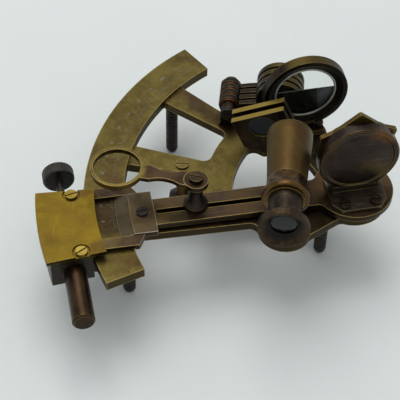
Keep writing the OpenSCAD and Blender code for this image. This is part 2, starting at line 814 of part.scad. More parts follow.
module arm_outline() {
  offset(r = -3) offset(delta = 3) {
    circle(r = arm_end_r, $fn = 128);
    rotate(arm_a) translate([0, -arm_w / 2]) square([vernier_in + 2, arm_w]);
  }
}

// The slot along the arm, with round ends
module arm_slot() {
  up(arm_bot - 1) {
    bar(slot_from, slot_to, slot_w, 0, arm_t + 2);
    for (x = [slot_from, slot_to]) translate([x, 0, 0]) cylinder(r = slot_w / 2, h = arm_t + 2);
  }
}

// The axle turns in the bush; its lower end carries the nut
module pivot_axle() {
  bottom = web_bot - bush_flange - gap - nut_h - 1;
  placed() color("goldenrod") up(bottom) cylinder(r = axle_r, h = arm_top - bottom);
}

module pivot_nut() {
  placed() color("goldenrod") up(web_bot - bush_flange - gap - nut_h) difference() {
    cylinder(r = nut_r, h = nut_h, $fn = 6);
    up(-1) cylinder(r = axle_r, h = nut_h + 2);
  }
}

// The vernier plate lies in the fork and reaches over the limb with a thin bevelled edge
module vernier_plate() {
  half = fork_w / 2 - rail_w - 0.05;
  edge = 0.5;
  placed() color("saddlebrown") at_arm() difference() {
    intersection() {
      rotate([0, 0, -15]) rotate_extrude(angle = 30, $fn = 128) polygon([[vernier_in - 4, fork_bot],
        [vernier_out, fork_bot], [vernier_out, fork_bot + edge], [vernier_out - 5, fork_bot + vernier_t],
        [vernier_in - 4, fork_bot + vernier_t]]);
      translate([vernier_in, -half, fork_bot - 1]) cube([vernier_l + 1, 2 * half, vernier_t + 2]);
    }
    translate([vernier_at, 0, fork_bot - 1]) cylinder(r = screw_r, h = vernier_t + 2);
  }
}

module vernier_screw() {
  placed() color("black") at_arm() translate([vernier_at, 0, fork_bot + vernier_t])
    cheese_screw(screw_head, 0.9, screw_r, vernier_t + fork_bot - arm_bot);
}

// The index mirror's base: a plate with clipped corners and a block that the cell stands on
module index_mirror_base() {
  side = -mirror_base_front + mirror_base_clip.y;
  tip = mirror_base_half - mirror_base_clip.x;
  placed() color("saddlebrown") at_index_mirror() up(arm_top - axis_z) difference() {
    union() {
      linear_extrude(mirror_base_t) polygon([[-mirror_base_half, cell_depth], [-mirror_base_half, side],
        [-tip, -mirror_base_front], [tip, -mirror_base_front], [mirror_base_half, side],
        [mirror_base_half, cell_depth]]);
      translate([-mirror_foot_half, -cell_back, mirror_base_t])
        cube([2 * mirror_foot_half, cell_depth, mirror_step]);
    }
    up(arm_bot - axis_z) for (s = [-1, 1]) translate([s * mirror_screw_x, mirror_screw_y, 0])
      cylinder(r = screw_r, h = axis_z + 5);
  }
}

module index_mirror_screws() {
  placed() color("dimgray") at_index_mirror() for (s = [-1, 1])
    translate([s * mirror_screw_x, mirror_screw_y, arm_top + mirror_base_t - axis_z])
      cheese_screw(screw_head, screw_head_t, screw_r, mirror_base_t + arm_t - 0.3);
}

// The round cell, closed at the back, with a low rim; its foot is cut flat on the base's block
module index_mirror_cell() {
  seat = arm_top + mirror_base_t + mirror_step - axis_z;
  placed() color("sienna") at_index_mirror() difference() {
    rotate([-90, 0, 0]) rotate_extrude() polygon([[0, -cell_back + 0.5], [cell_r - 2.4, -cell_back + 0.5],
      [cell_r - 1.8, -cell_back], [cell_r - 0.5, -cell_back], [cell_r, -cell_back + 0.5],
      [cell_r, cell_depth - cell_back], [index_glass_r + 0.4, cell_depth - cell_back],
      [index_glass_r + 0.4, cell_depth - cell_back - index_glass_t], [0, cell_depth - cell_back - index_glass_t]]);
    translate([-cell_r, -cell_r, -2 * cell_r + seat]) cube(2 * cell_r);
  }
}

// The bezel in front of the glass, with a top like a gable whose slopes flatten towards its sides
module index_mirror_bezel() {
  front = cell_depth - cell_back;
  seat = arm_top + mirror_base_t - axis_z;
  placed() color("peru") at_index_mirror() difference() {
    translate([0, front + bezel_t, 0]) rotate([90, 0, 0]) linear_extrude(bezel_t) difference() {
      union() {
        circle(r = cell_r - 0.4);
        translate([-mirror_foot_half, seat]) square([2 * mirror_foot_half, 8]);
        offset(r = 0.8) offset(delta = -0.8) polygon([[0, bezel_point + 0.5], [-8.8, bezel_point - 7],
          [-bezel_half, bezel_point - 9.3], [-bezel_half + 1, bezel_point - 13],
          [bezel_half - 1, bezel_point - 13],
          [bezel_half, bezel_point - 9.3], [8.8, bezel_point - 7]]);
      }
      circle(r = index_glass_r - 0.8);
    }
  }
}

module index_mirror_glass() {
  front = cell_depth - cell_back;
  placed() color("silver") at_index_mirror() along_y(index_glass_r + 0.35, front - index_glass_t, front);
}

// The post that the magnifier swings on
module magnifier_post() {
  bottom = magnifier_h - magnifier_t / 2 - 0.1;
  top = magnifier_h + magnifier_t / 2 + 0.1;
  placed() color("dimgray") at_arm() translate([post_at, post_side, arm_top]) {
    rotate_extrude() polygon([[0, 0], [post_r, 0], [post_r, 1.2], [post_r - 0.6, 1.7], [3.3, 2.4], [2.8, 3.6],
      [2.5, 5.4], [2.5, magnifier_h * 0.6], [2.8, magnifier_h - 3.4], [3.5, magnifier_h - 2.4], [3.5, bottom],
      [magnifier_pin_r, bottom], [magnifier_pin_r, top], [0, top]]);
  }
}

module at_magnifier() {
  translate(concat(post_spot, [magnifier_z])) rotate([0, 0, magnifier_a]) children();
}

module magnifier_arm() {
  t = magnifier_t;
  placed() color("peru") at_magnifier() difference() {
    union() {
      up(-t / 2) cylinder(r = post_r, h = t);
      translate([magnifier_l, 0, -t / 2]) cylinder(r = magnifier_r, h = t);
      up(-t / 2 + 0.2) linear_extrude(t - 0.4) difference() {
        translate([0, -3.4]) square([magnifier_l, 6.8]);
        for (s = [-1, 1]) translate([magnifier_l * 0.38, s * (magnifier_waist / 2 + magnifier_waist_r)])
          circle(r = magnifier_waist_r);
      }
    }
    up(-t) cylinder(r = magnifier_pin_r + run, h = 2 * t);
    translate([magnifier_l, 0, -t]) cylinder(r = magnifier_glass_r, h = 2 * t);
  }
}

module magnifier_lens() {
  r = magnifier_glass_r;
  placed() color("lightcyan") at_magnifier() translate([magnifier_l, 0, 0]) rotate_extrude() polygon([[0, -1.1],
    [r * 0.5, -0.9], [r, -0.35], [r, 0.35], [r * 0.5, 0.9], [0, 1.1]]);
}

module magnifier_screw() {
  placed() color("sienna") at_magnifier() up(magnifier_t / 2 + 0.1) cheese_screw(magnifier_screw_r, 1.6, 0.5, 0);
}

// The clamp block: a trapezium outside the limb with a jaw below it
module tangent_box() {
  placed() color("darkslategray") at_box() difference() {
    union() {
      intersection() {
        rotate([0, 0, -15]) rotate_extrude(angle = 30, $fn = 128) translate([box_in, box_bot])
          square([box_out - box_in, box_h]);
        up(box_bot) linear_extrude(box_h) box_outline(-box_step);
      }
      intersection() {
        rotate([0, 0, -15]) rotate_extrude(angle = 30, $fn = 128) translate([jaw_in, box_bot])
          square([box_in - jaw_in + 1, jaw_top - box_bot]);
        translate([jaw_in - 2, -jaw_half, box_bot]) cube([box_in - jaw_in + 4, 2 * jaw_half, box_h]);
      }
    }
    translate([box_in - 1, lug_y - lug_half, lug_bot - 0.6])
      cube([lug_out + 0.6 - box_in + 1, 2 * lug_half, box_h]);
    translate([tangent_at, 0, tangent_z]) {
      along_y(tangent_r + run, -cover_w_out, lug_y);
      along_y(sleeve_bore, lug_y, cover_w_out);
    }
    for (s = [-1, 1]) rotate([0, 0, s * cover_screw_a]) translate([cover_screw_r, 0, cover_bot - 3.4])
      cylinder(r = screw_r, h = 5);
    translate([clamp_at, 0, box_bot - 1]) cylinder(r = clamp_r + run, h = box_h);
    translate([clamp_at - shoe_l / 2 - shoe_gap, -shoe_w / 2 - shoe_gap, jaw_top - shoe_pocket])
      cube([shoe_l + 2 * shoe_gap, shoe_w + 2 * shoe_gap, shoe_pocket + 1]);
  }
}

// The plan of the block and its cover, in by step on each side
module box_outline(step) {
  in_half = cover_w_in / 2 + step;
  out_half = cover_w_out / 2 + step;
  polygon([[cover_in - 2, -in_half], [cover_out - 2, -out_half], [cover_out + 2, -out_half],
    [cover_out + 2, out_half], [cover_out - 2, out_half], [cover_in - 2, in_half]]);
}

module tangent_cover() {
  recess = screw_head + 1.1;
  placed() color("gold") at_box() difference() {
    intersection() {
      rotate([0, 0, -15]) rotate_extrude(angle = 30, $fn = 128) translate([cover_in, cover_bot])
        square([cover_out - cover_in, cover_t]);
      up(cover_bot) linear_extrude(cover_t) box_outline(0);
    }
    for (s = [-1, 1]) rotate([0, 0, s * cover_screw_a]) translate([cover_screw_r, 0, cover_bot - 1]) {
      cylinder(r = screw_r, h = cover_t + 2);
      up(1 + cover_t - cover_seat) cylinder(r = recess, h = cover_t);
    }
  }
}

module cover_screws() {
  placed() color("goldenrod") at_box() for (s = [-1, 1]) rotate([0, 0, s * cover_screw_a])
    translate([cover_screw_r, 0, cover_top - cover_seat]) rotate([0, 0, 20])
      cheese_screw(screw_head, 1.3, screw_r, cover_t + 2);
}

module at_tangent() {
  at_box() translate([tangent_at, 0, tangent_z]) children();
}

// The sleeve: closed at its far end, with a spigot that fits the block's bore
module spring_sleeve() {
  placed() color("sienna") at_tangent() rotate([-90, 0, 0]) rotate_extrude() polygon([
    [sleeve_bore - 0.6, lug_y + lug_half + 5], [sleeve_bore, lug_y + lug_half + 5], [sleeve_bore, box_side],
    [sleeve_r, box_side], [sleeve_r, box_side + sleeve_l - 0.6], [sleeve_r - 0.6, box_side + sleeve_l],
    [0, box_side + sleeve_l], [0, box_side + sleeve_l - 1.6], [sleeve_bore - 0.6, box_side + sleeve_l - 1.6]]);
}

module plunger() {
  placed() color("goldenrod") at_tangent() rotate([-90, 0, 0]) rotate_extrude() polygon([[0, plunger_from],
    [plunger_head, plunger_from], [plunger_r - run, plunger_from + 1], [plunger_r - run, plunger_seat],
    [1, plunger_seat],
    [1, plunger_to], [0, plunger_to]]);
}

// The return spring inside the sleeve, as a plain ring because it is sealed in
module return_spring() {
  placed() color("silver") at_tangent() rotate([-90, 0, 0]) up(plunger_seat + 0.1)
    tube(spring_r, spring_r - spring_wire, box_side + sleeve_l - 1.7 - (plunger_seat + 0.1));
}

// The tangent screw and its knurled knob, which turn as one
module tangent_screw() {
  knob_near = -box_side - knob_gap;
  teeth = 36;
  placed() color("black") at_tangent() {
    along_y(tangent_r, knob_near, lug_y + lug_w / 2 - lug_travel);
    along_y(tangent_r + 1, -box_side - 2.2, -box_side - 0.1);
    difference() {
      translate([0, knob_near, 0]) rotate([90, 0, 0]) rotate_extrude() polygon([[0, 0], [knob_r - 0.6, 0],
        [knob_r, 0.6], [knob_r, knob_t - 0.6], [knob_r - 0.6, knob_t], [0, knob_t]]);
      for (i = [0:teeth - 1]) rotate([0, i * 360 / teeth, 0]) translate([knob_r + 0.1, knob_near + 1, 0])
        rotate([90, 45, 0]) cylinder(r = 0.45, h = knob_t + 2, $fn = 4);
    }
  }
}

module clamp_screw() {
  top = jaw_top - shoe_drop - shoe_gap;
  placed() color("black") at_box() translate([clamp_at, 0, 0]) {
    up(box_bot - clamp_drop) cylinder(r = clamp_r, h = top - box_bot + clamp_drop);
    up(box_bot - clamp_drop) cylinder(r = clamp_knob_r, h = 4.6);
    up(box_bot - clamp_drop + 4.5) cylinder(r = 2.6, h = 2);
  }
}

module clamp_shoe() {
  placed() color("goldenrod") at_box() translate([clamp_at - shoe_l / 2, -shoe_w / 2, jaw_top - shoe_drop])
    cube([shoe_l, shoe_w, shoe_drop + pass - shoe_gap]);
}

frame();
legs();
handle_grip();
handle_pillars();
handle_screws();
pivot_bush();
telescope_holder();
holder_screws();
telescope_body();
objective_lens();
draw_tube();
eyecup();
eye_lens();
horizon_foot();
horizon_screws();
horizon_ring();
horizon_glass();
horizon_silvering();
far_shade_post();
far_shade_pin();
far_shade_washers();
far_shade_1();
far_shade_2();
far_shade_3();
far_shade_4();
far_glass_1();
far_glass_2();
far_glass_3();
far_glass_4();
near_shade_post();
near_shade_pin();
near_shade_1();
near_shade_2();
near_glass_1();
near_glass_2();
index_arm();
pivot_axle();
pivot_nut();
vernier_plate();
vernier_screw();
index_mirror_base();
index_mirror_screws();
index_mirror_cell();
index_mirror_bezel();
index_mirror_glass();
magnifier_post();
magnifier_arm();
magnifier_lens();
magnifier_screw();
tangent_box();
tangent_cover();
cover_screws();
spring_sleeve();
return_spring();
plunger();
tangent_screw();
clamp_screw();
clamp_shoe();
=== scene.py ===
"""A small brass sextant on a pale table: its finishes, its graduations, the light and the camera."""
import json
import math

import bpy
from mathutils import Matrix, Vector

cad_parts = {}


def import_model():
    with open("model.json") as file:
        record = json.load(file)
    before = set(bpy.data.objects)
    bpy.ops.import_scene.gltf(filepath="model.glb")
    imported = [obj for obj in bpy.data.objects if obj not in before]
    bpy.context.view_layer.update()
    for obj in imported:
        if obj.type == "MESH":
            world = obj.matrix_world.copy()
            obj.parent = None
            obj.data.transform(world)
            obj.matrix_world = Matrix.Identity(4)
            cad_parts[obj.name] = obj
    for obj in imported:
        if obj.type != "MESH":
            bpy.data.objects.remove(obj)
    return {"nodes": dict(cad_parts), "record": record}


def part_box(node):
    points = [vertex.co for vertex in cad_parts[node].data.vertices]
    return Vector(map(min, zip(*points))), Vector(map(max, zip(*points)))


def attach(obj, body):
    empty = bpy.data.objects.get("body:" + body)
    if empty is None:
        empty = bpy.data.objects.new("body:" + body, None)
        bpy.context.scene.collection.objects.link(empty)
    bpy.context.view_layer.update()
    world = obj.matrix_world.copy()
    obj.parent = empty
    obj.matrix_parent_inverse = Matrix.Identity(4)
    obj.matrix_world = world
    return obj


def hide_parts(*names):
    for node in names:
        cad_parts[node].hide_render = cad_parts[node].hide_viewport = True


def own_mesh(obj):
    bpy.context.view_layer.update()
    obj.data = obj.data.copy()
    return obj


MM = 0.001

# The index pivot's axis stands here on the table
PIVOT = Vector((50.98 * MM, -7.85 * MM, 0.0))

# The camera, solved from the photograph: place, pitch, roll and lens
CAMERA_AT = PIVOT + Vector((-56.7, -336.0, 401.1)) * MM
CAMERA_PITCH = math.radians(48.14)
CAMERA_ROLL = math.radians(1.27)
CAMERA_LENS = 120.6
SENSOR = 36.0

# The scales on the limb and the vernier, in millimetres and degrees about the pivot
LIMB_TOP = 33.0
ARM_ANGLE = 191.0
SCALE_SPAN = 60.0
SCALE_BACK = 2.5
DEGREE_STEP = 0.5
SCALE_INNER = 88.8
SCALE_MARK = 1.3
SCALE_LONG_MARK = 2.1
SCALE_LONGEST_MARK = 2.8
NUMBER_AT = 93.6
NUMBER_HEIGHT = 1.9
MARK_WIDTH = 0.12
MARK_PROUD = 0.02
MARK_TOP_SHARE = 0.97
MARK_BEVEL = 0.02
MARK_OVERLAP = 0.05
WELD = 0.001
VERNIER_EDGE = 88.5
VERNIER_EDGE_TOP = 33.8
VERNIER_SLOPE = math.atan2(1.7, 5.0)
VERNIER_MARGIN = 0.1
VERNIER_HALF = 6.0
VERNIER_STEP = 0.6
VERNIER_SHORT_START = 0.7

# The horizon ring's centre from the pivot, and the pale bead in front of its glass, a painted highlight
# on the glass's edge
HORIZON_TURN = math.radians(12.0)
HORIZON_CENTRE = Vector((-18.0, 33.0, 52.0))
BEAD_R = 11.55
BEAD_HALF = 0.4
BEAD_AHEAD = 0.6

# The stop screw: its radius and angle about the pivot, and its sizes
WEB_TOP = 31.5
STOP_SCREW_AT = (22.0, 120.4)
STOP_SCREW_R = 2.0
STOP_SCREW_H = 3.0
STOP_SCREW_DOME = 0.7
STOP_SCREW_SLOT = Vector((6.0, 0.6, 1.4))
STOP_SCREW_TURN = math.radians(25.0)
STOP_SCREW_SMOOTH = math.radians(40.0)

# The return spring, and the way its plunger slides
SLIDE_AXIS = Vector((0.21303, -0.977046, 0.0))
SPRING_R = 2.2
SPRING_WIRE = 0.5
SPRING_TURNS = 7
SPRING_SMOOTH = math.radians(50.0)

# The tangent cover's two screws, in millimetres
COVER_SCREWS = ((-49.4, -14.6), (-40.3, -41.9))

# Colours of metal, wood and glass, as linear values
OLIVE = (0.128, 0.098, 0.020)
OLIVE_PALE = (0.180, 0.148, 0.050)
OLIVE_SHADE = (0.072, 0.050, 0.014)
YELLOW = (0.185, 0.122, 0.010)
YELLOW_PALE = (0.270, 0.190, 0.026)
YELLOW_SHADE = (0.105, 0.062, 0.010)
UMBER = (0.044, 0.026, 0.013)
UMBER_SHADE = (0.018, 0.011, 0.007)
PLUM = (0.052, 0.032, 0.022)
PLUM_SHADE = (0.022, 0.014, 0.010)
TOBACCO = (0.080, 0.043, 0.015)
BARE_GOLD = (0.460, 0.330, 0.100)
DULL_GOLD = (0.230, 0.165, 0.060)
SOOT = (0.010, 0.009, 0.009)
SOOT_WORN = (0.030, 0.026, 0.023)
SLATE = (0.052, 0.046, 0.044)
COPPER = (0.170, 0.050, 0.026)
IRON = (0.420, 0.420, 0.420)
TABLE = (0.700, 0.740, 0.730)


def deselect():
    """Leaves nothing selected, so that the next operator acts on one piece."""
    bpy.ops.object.select_all(action="DESELECT")


def polar(radius, angle, height):
    """A point at this radius and angle about the pivot, from millimetres."""
    turn = math.radians(angle)
    return PIVOT + Vector((radius * math.cos(turn), radius * math.sin(turn), height)) * MM


# Shader groups that several finishes share


def new_group(name, inputs, outputs):
    """An empty shader group with its sockets and its two end nodes."""
    group = bpy.data.node_groups.new(name, "ShaderNodeTree")
    for label, kind, value in inputs:
        socket = group.interface.new_socket(label, in_out="INPUT", socket_type=kind)
        socket.default_value = value
    for label in outputs:
        group.interface.new_socket(label, in_out="OUTPUT", socket_type="NodeSocketFloat")
    start = group.nodes.new("NodeGroupInput")
    end = group.nodes.new("NodeGroupOutput")
    return group, start, end


def add(tree, kind, **inputs):
    """A node; every other word names one of its inputs, and is a socket to join or a value to set."""
    node = tree.nodes.new(kind)
    for word, value in inputs.items():
        slot = node.inputs[word.replace("_", " ")]
        if isinstance(value, bpy.types.NodeSocket):
            tree.links.new(value, slot)
        else:
            slot.default_value = value
    return node


def calculate(tree, operation, *values, clamp=False):
    """A Math node on two or three sockets or numbers."""
    node = tree.nodes.new("ShaderNodeMath")
    node.operation = operation
    node.use_clamp = clamp
    for slot, value in zip(node.inputs, values):
        if isinstance(value, bpy.types.NodeSocket):
            tree.links.new(value, slot)
        else:
            slot.default_value = value
    return node.outputs[0]


def squeeze(tree, coords, amount):
    """The coordinates times a vector, which draws a pattern out along an axis."""
    node = tree.nodes.new("ShaderNodeVectorMath")
    node.operation = "MULTIPLY"
    tree.links.new(coords, node.inputs[0])
    tree.links.new(amount, node.inputs[1])
    return node.outputs["Vector"]


def worn_edge_group():
    """A mask that is 1 on the edges, where handling has rubbed the finish away."""
    group, start, end = new_group(
        "worn_edge",
        [
            ("Width", "NodeSocketFloat", 0.0005),
            ("Amount", "NodeSocketFloat", 1.0),
            ("Breakup", "NodeSocketFloat", 700.0),
        ],
        ["Mask"],
    )
    bevel = add(group, "ShaderNodeBevel", Radius=start.outputs["Width"])
    bevel.samples = 8
    flat = group.nodes.new("ShaderNodeNewGeometry")
    dot = group.nodes.new("ShaderNodeVectorMath")
    dot.operation = "DOT_PRODUCT"
    group.links.new(bevel.outputs["Normal"], dot.inputs[0])
    group.links.new(flat.outputs["Normal"], dot.inputs[1])
    bend = calculate(group, "SUBTRACT", 1.0, dot.outputs["Value"])
    sharp = calculate(group, "MULTIPLY", bend, 16.0, clamp=True)
    coords = group.nodes.new("ShaderNodeTexCoord")
    noise = add(
        group,
        "ShaderNodeTexNoise",
        Vector=coords.outputs["Object"],
        Scale=start.outputs["Breakup"],
        Detail=4.0,
        Roughness=0.65,
    )
    ragged = calculate(group, "MULTIPLY_ADD", noise.outputs["Fac"], 2.4, -0.40, clamp=True)
    mask = calculate(group, "MULTIPLY", sharp, ragged)
    mask = calculate(group, "MULTIPLY", mask, start.outputs["Amount"], clamp=True)
    group.links.new(mask, end.inputs["Mask"])
    return group


def patina_group():
    """Cloudy stain, fine speckle and straight wipe marks of old brass."""
    group, start, end = new_group(
        "patina",
        [("Scale", "NodeSocketFloat", 60.0), ("Stretch", "NodeSocketVector", (1.0, 1.0, 1.0))],
        ["Cloud", "Speckle", "Wipe"],
    )
    coords = group.nodes.new("ShaderNodeTexCoord").outputs["Object"]
    scale = start.outputs["Scale"]
    drawn_out = squeeze(group, coords, start.outputs["Stretch"])
    for label, place, size, detail, roughness, twist in (
        ("Cloud", coords, scale, 6.0, 0.62, 0.5),
        ("Speckle", coords, calculate(group, "MULTIPLY", scale, 22.0), 3.0, 0.7, 0.0),
        ("Wipe", drawn_out, calculate(group, "MULTIPLY", scale, 6.0), 4.0, 0.6, 0.0),
    ):
        noise = add(
            group,
            "ShaderNodeTexNoise",
            Vector=place,
            Scale=size,
            Detail=detail,
            Roughness=roughness,
            Distortion=twist,
        )
        group.links.new(noise.outputs["Fac"], end.inputs[label])
    return group


def hairline_group():
    """A mask of fine scratches that run one way."""
    group, start, end = new_group(
        "hairline",
        [
            ("Scale", "NodeSocketFloat", 300.0),
            ("Stretch", "NodeSocketVector", (0.03, 1.0, 1.0)),
            ("Turn", "NodeSocketFloat", 0.0),
        ],
        ["Mask"],
    )
    coords = group.nodes.new("ShaderNodeTexCoord").outputs["Object"]
    turned = group.nodes.new("ShaderNodeVectorRotate")
    turned.rotation_type = "Z_AXIS"
    group.links.new(coords, turned.inputs["Vector"])
    group.links.new(start.outputs["Turn"], turned.inputs["Angle"])
    drawn_out = squeeze(group, turned.outputs["Vector"], start.outputs["Stretch"])
    noise = add(group, "ShaderNodeTexNoise", Vector=drawn_out, Scale=start.outputs["Scale"], Detail=2.0)
    line = calculate(group, "MULTIPLY_ADD", noise.outputs["Fac"], 14.0, -9.1, clamp=True)
    group.links.new(line, end.inputs["Mask"])
    return group


def stain_and_light_patch_group():
    """A mask that is 1 round a place and frays out at its reach."""
    group, start, end = new_group(
        "stain_and_light_patch",
        [
            ("Centre", "NodeSocketVector", (0.0, 0.0, 0.0)),
            ("Reach", "NodeSocketFloat", 0.02),
            ("Fray", "NodeSocketFloat", 0.01),
        ],
        ["Mask"],
    )
    coords = group.nodes.new("ShaderNodeTexCoord").outputs["Object"]
    gap = group.nodes.new("ShaderNodeVectorMath")
    gap.operation = "DISTANCE"
    group.links.new(coords, gap.inputs[0])
    group.links.new(start.outputs["Centre"], gap.inputs[1])
    noise = add(group, "ShaderNodeTexNoise", Vector=coords, Scale=110.0, Detail=5.0, Roughness=0.6)
    fray = calculate(group, "SUBTRACT", noise.outputs["Fac"], 0.5)
    fray = calculate(group, "MULTIPLY", fray, start.outputs["Fray"])
    inside = calculate(group, "SUBTRACT", start.outputs["Reach"], gap.outputs["Value"])
    inside = calculate(group, "MULTIPLY_ADD", fray, 4.0, inside)
    fade = calculate(group, "MULTIPLY", start.outputs["Fray"], 1.2)
    group.links.new(calculate(group, "DIVIDE", inside, fade, clamp=True), end.inputs["Mask"])
    return group


def grime_and_shade_group():
    """A mask that is 1 in a piece's own corners and recesses, from ambient occlusion: dirt there, and
    painted shade.
    """
    group, start, end = new_group(
        "grime_and_shade",
        [("Reach", "NodeSocketFloat", 0.002), ("Amount", "NodeSocketFloat", 1.0)],
        ["Mask"],
    )
    corner = add(group, "ShaderNodeAmbientOcclusion", Distance=start.outputs["Reach"])
    corner.samples = 6
    corner.only_local = True
    deep = calculate(group, "MULTIPLY_ADD", corner.outputs["AO"], -1.8, 1.6, clamp=True)
    mask = calculate(group, "MULTIPLY", deep, start.outputs["Amount"], clamp=True)
    group.links.new(mask, end.inputs["Mask"])
    return group


def sides_group():
    """Masks of a piece's upright faces, darkened partly as tarnish and partly as painted shade, and of
    its top faces, brightened as bare metal and painted highlight.
    """
    group, start, end = new_group("sides", [("Amount", "NodeSocketFloat", 1.0)], ["Upright", "Top"])
    parts = group.nodes.new("ShaderNodeSeparateXYZ")
    group.links.new(group.nodes.new("ShaderNodeTexCoord").outputs["Normal"], parts.inputs[0])
    level = calculate(group, "ABSOLUTE", parts.outputs["Z"])
    upright = calculate(group, "MULTIPLY_ADD", level, -1.6, 1.25, clamp=True)
    top = calculate(group, "MULTIPLY_ADD", parts.outputs["Z"], 3.0, -1.2, clamp=True)
    for label, mask in (("Upright", upright), ("Top", top)):
        mask = calculate(group, "MULTIPLY", mask, start.outputs["Amount"], clamp=True)
        group.links.new(mask, end.inputs[label])
    return group


def make_groups():
    """Every shared shader group, by name."""
    return {
        "worn_edge": worn_edge_group(),
        "patina": patina_group(),
        "hairline": hairline_group(),
        "stain_and_light_patch": stain_and_light_patch_group(),
        "grime_and_shade": grime_and_shade_group(),
        "sides": sides_group(),
    }


# Tools for the materials


def new_material(name):
    """A material with its node tree and its Principled shader."""
    material = bpy.data.materials.new(name)
    material.use_nodes = True
    return material, material.node_tree, material.node_tree.nodes["Principled BSDF"]


def use(tree, group, **inputs):
    """A shared group placed in a material with its own values."""
    node = tree.nodes.new("ShaderNodeGroup")
    node.node_tree = group
    for word, value in inputs.items():
        node.inputs[word].default_value = value
    return node.outputs


def ramp(tree, socket, low, high, to_low=0.0, to_high=1.0):
    """Maps a value between low and high to another span, and holds it there."""
    node = add(tree, "ShaderNodeMapRange", Value=socket)
    node.inputs["From Min"].default_value = low
    node.inputs["From Max"].default_value = high
    node.inputs["To Min"].default_value = to_low
    node.inputs["To Max"].default_value = to_high
    return node.outputs["Result"]


def tint(tree, mask, below, above, share=1.0):
    """Lays one colour over another where the mask is 1, at this share."""
    node = tree.nodes.new("ShaderNodeMix")
    node.data_type = "RGBA"
    if share < 1.0:
        mask = calculate(tree, "MULTIPLY", mask, share)
    tree.links.new(mask, node.inputs["Factor"])
    for label, colour in (("A", below), ("B", above)):
        if isinstance(colour, bpy.types.NodeSocket):
            tree.links.new(colour, node.inputs[label])
        else:
            node.inputs[label].default_value = (*colour, 1.0)
    return node.outputs["Result"]


def bump(tree, height, strength, distance, normal=None):
    """The normal bent by a height map, of this distance in millimetres."""
    node = add(tree, "ShaderNodeBump", Strength=strength, Distance=distance * MM, Height=height)
    if normal:
        tree.links.new(normal, node.inputs["Normal"])
    return node.outputs["Normal"]


def between(one, other, share=0.5):
    """A colour between two colours."""
    return tuple(a + (b - a) * share for a, b in zip(one, other))


# What a metal's look is where its own entry doesn't say; lengths in millimetres, shares from 0 to 1.
# Each entry also has light and dark, the two colours of its clouds, and may have pale, its wipe marks.
# Dirt and painted shade from occlusion lie in the corners in the dirt colour, and wear bares the edges in
# the colour bare.
# Upright faces darken as tarnish and painted shade, and top faces brighten as bare metal and painted
# highlight.
METAL_DEFAULTS = {
    "metallic": 0.93, "scale": 60.0, "stretch": (1.0, 1.0, 1.0),
    "wipe": 0.35, "stains_and_light_patches": (), "spots": 0.45,
    "hairs": 0.0, "hair_scale": 1300.0, "hair_stretch": (0.04, 1.0, 1.0), "hair_turn": 0.0, "top": None,
    "sides": 0.0, "upright_tarnish_and_shade_colour": UMBER_SHADE, "corner": 1.6, "grime_and_shade": 0.75, "dirt_and_shade": UMBER_SHADE,
    "edge": 0.45, "wear": 0.8, "breakup": 600.0, "bare": BARE_GOLD, "rough": (0.32, 0.52), "soft": 0.25,
    "rings": 0.0, "cast": 0.25, "grain": 0.14,
}
PALE_SHARE = 0.25
SOOT_SHARE = 0.4
GRIME_ROUGH = 0.25
RING_HEIGHT = 0.3
CAST_HEIGHT = 0.4
GRAIN_HEIGHT = 0.12


def metal_colour(tree, groups, look, patina, grime_and_shade):
    """The colour of aged metal: clouds, wipes, stains and patches of painted shadow and highlight, spots,
    scratches, bright top faces of bare metal and painted highlight, upright faces darkened by tarnish and
    painted shade, dirt and painted shade in corners, and worn edges.
    """
    light, dark = look["light"], look["dark"]
    colour = tint(tree, ramp(tree, patina["Cloud"], 0.36, 0.66), dark, light)
    pale = look.get("pale", between(light, BARE_GOLD, PALE_SHARE))
    colour = tint(tree, ramp(tree, patina["Wipe"], 0.50, 0.72), colour, pale, look["wipe"])
    # Stains, some of which are painted shadows and highlights.
    for centre, reach, fray, stain_and_light_patch, share in look["stains_and_light_patches"]:
        mask = use(tree, groups["stain_and_light_patch"], Centre=centre, Reach=reach * MM, Fray=fray * MM)["Mask"]
        colour = tint(tree, mask, colour, stain_and_light_patch, share)
    spots = ramp(tree, patina["Speckle"], 0.60, 0.76)
    colour = tint(tree, spots, colour, between(dark, SOOT, SOOT_SHARE), look["spots"])
    if look["hairs"]:
        hairs = use(
            tree,
            groups["hairline"],
            Scale=look["hair_scale"],
            Stretch=look["hair_stretch"],
            Turn=math.radians(look["hair_turn"]),
        )["Mask"]
        colour = tint(tree, hairs, colour, look.get("hair_colour", pale), look["hairs"])
    # Top faces brightened: bare metal and a painted highlight.
    if look["top"]:
        top, share = look["top"]
        colour = tint(tree, use(tree, groups["sides"], Amount=share)["Top"], colour, top)
    # Upright faces darkened: tarnish and painted shade.
    if look["sides"]:
        upright = use(tree, groups["sides"], Amount=look["sides"])["Upright"]
        colour = tint(tree, upright, colour, look["upright_tarnish_and_shade_colour"])
    # Corners and recesses darkened by occlusion: dirt and painted shade.
    colour = tint(tree, grime_and_shade, colour, look["dirt_and_shade"])
    edge = use(
        tree, groups["worn_edge"], Width=look["edge"] * MM, Amount=look["wear"], Breakup=look["breakup"]
    )["Mask"]
    return tint(tree, edge, colour, look["bare"])


def metal_relief(tree, look, patina):
    """The shading normal of aged metal: soft edges, turned rings, casting waves and a fine grain."""
    rounded = add(tree, "ShaderNodeBevel", Radius=look["soft"] * MM)
    rounded.samples = 6
    normal = rounded.outputs["Normal"]
    if look["rings"]:
        coords = tree.nodes.new("ShaderNodeTexCoord").outputs["Object"]
        rings = add(
            tree, "ShaderNodeTexWave", Vector=coords, Scale=look["rings"], Distortion=0.6, Detail=1.0
        )
        rings.bands_direction = "Z"
        normal = bump(tree, rings.outputs["Fac"], 0.9, RING_HEIGHT, normal)
    normal = bump(tree, patina["Cloud"], look["cast"], CAST_HEIGHT, normal)
    return bump(tree, patina["Speckle"], look["grain"], GRAIN_HEIGHT, normal)


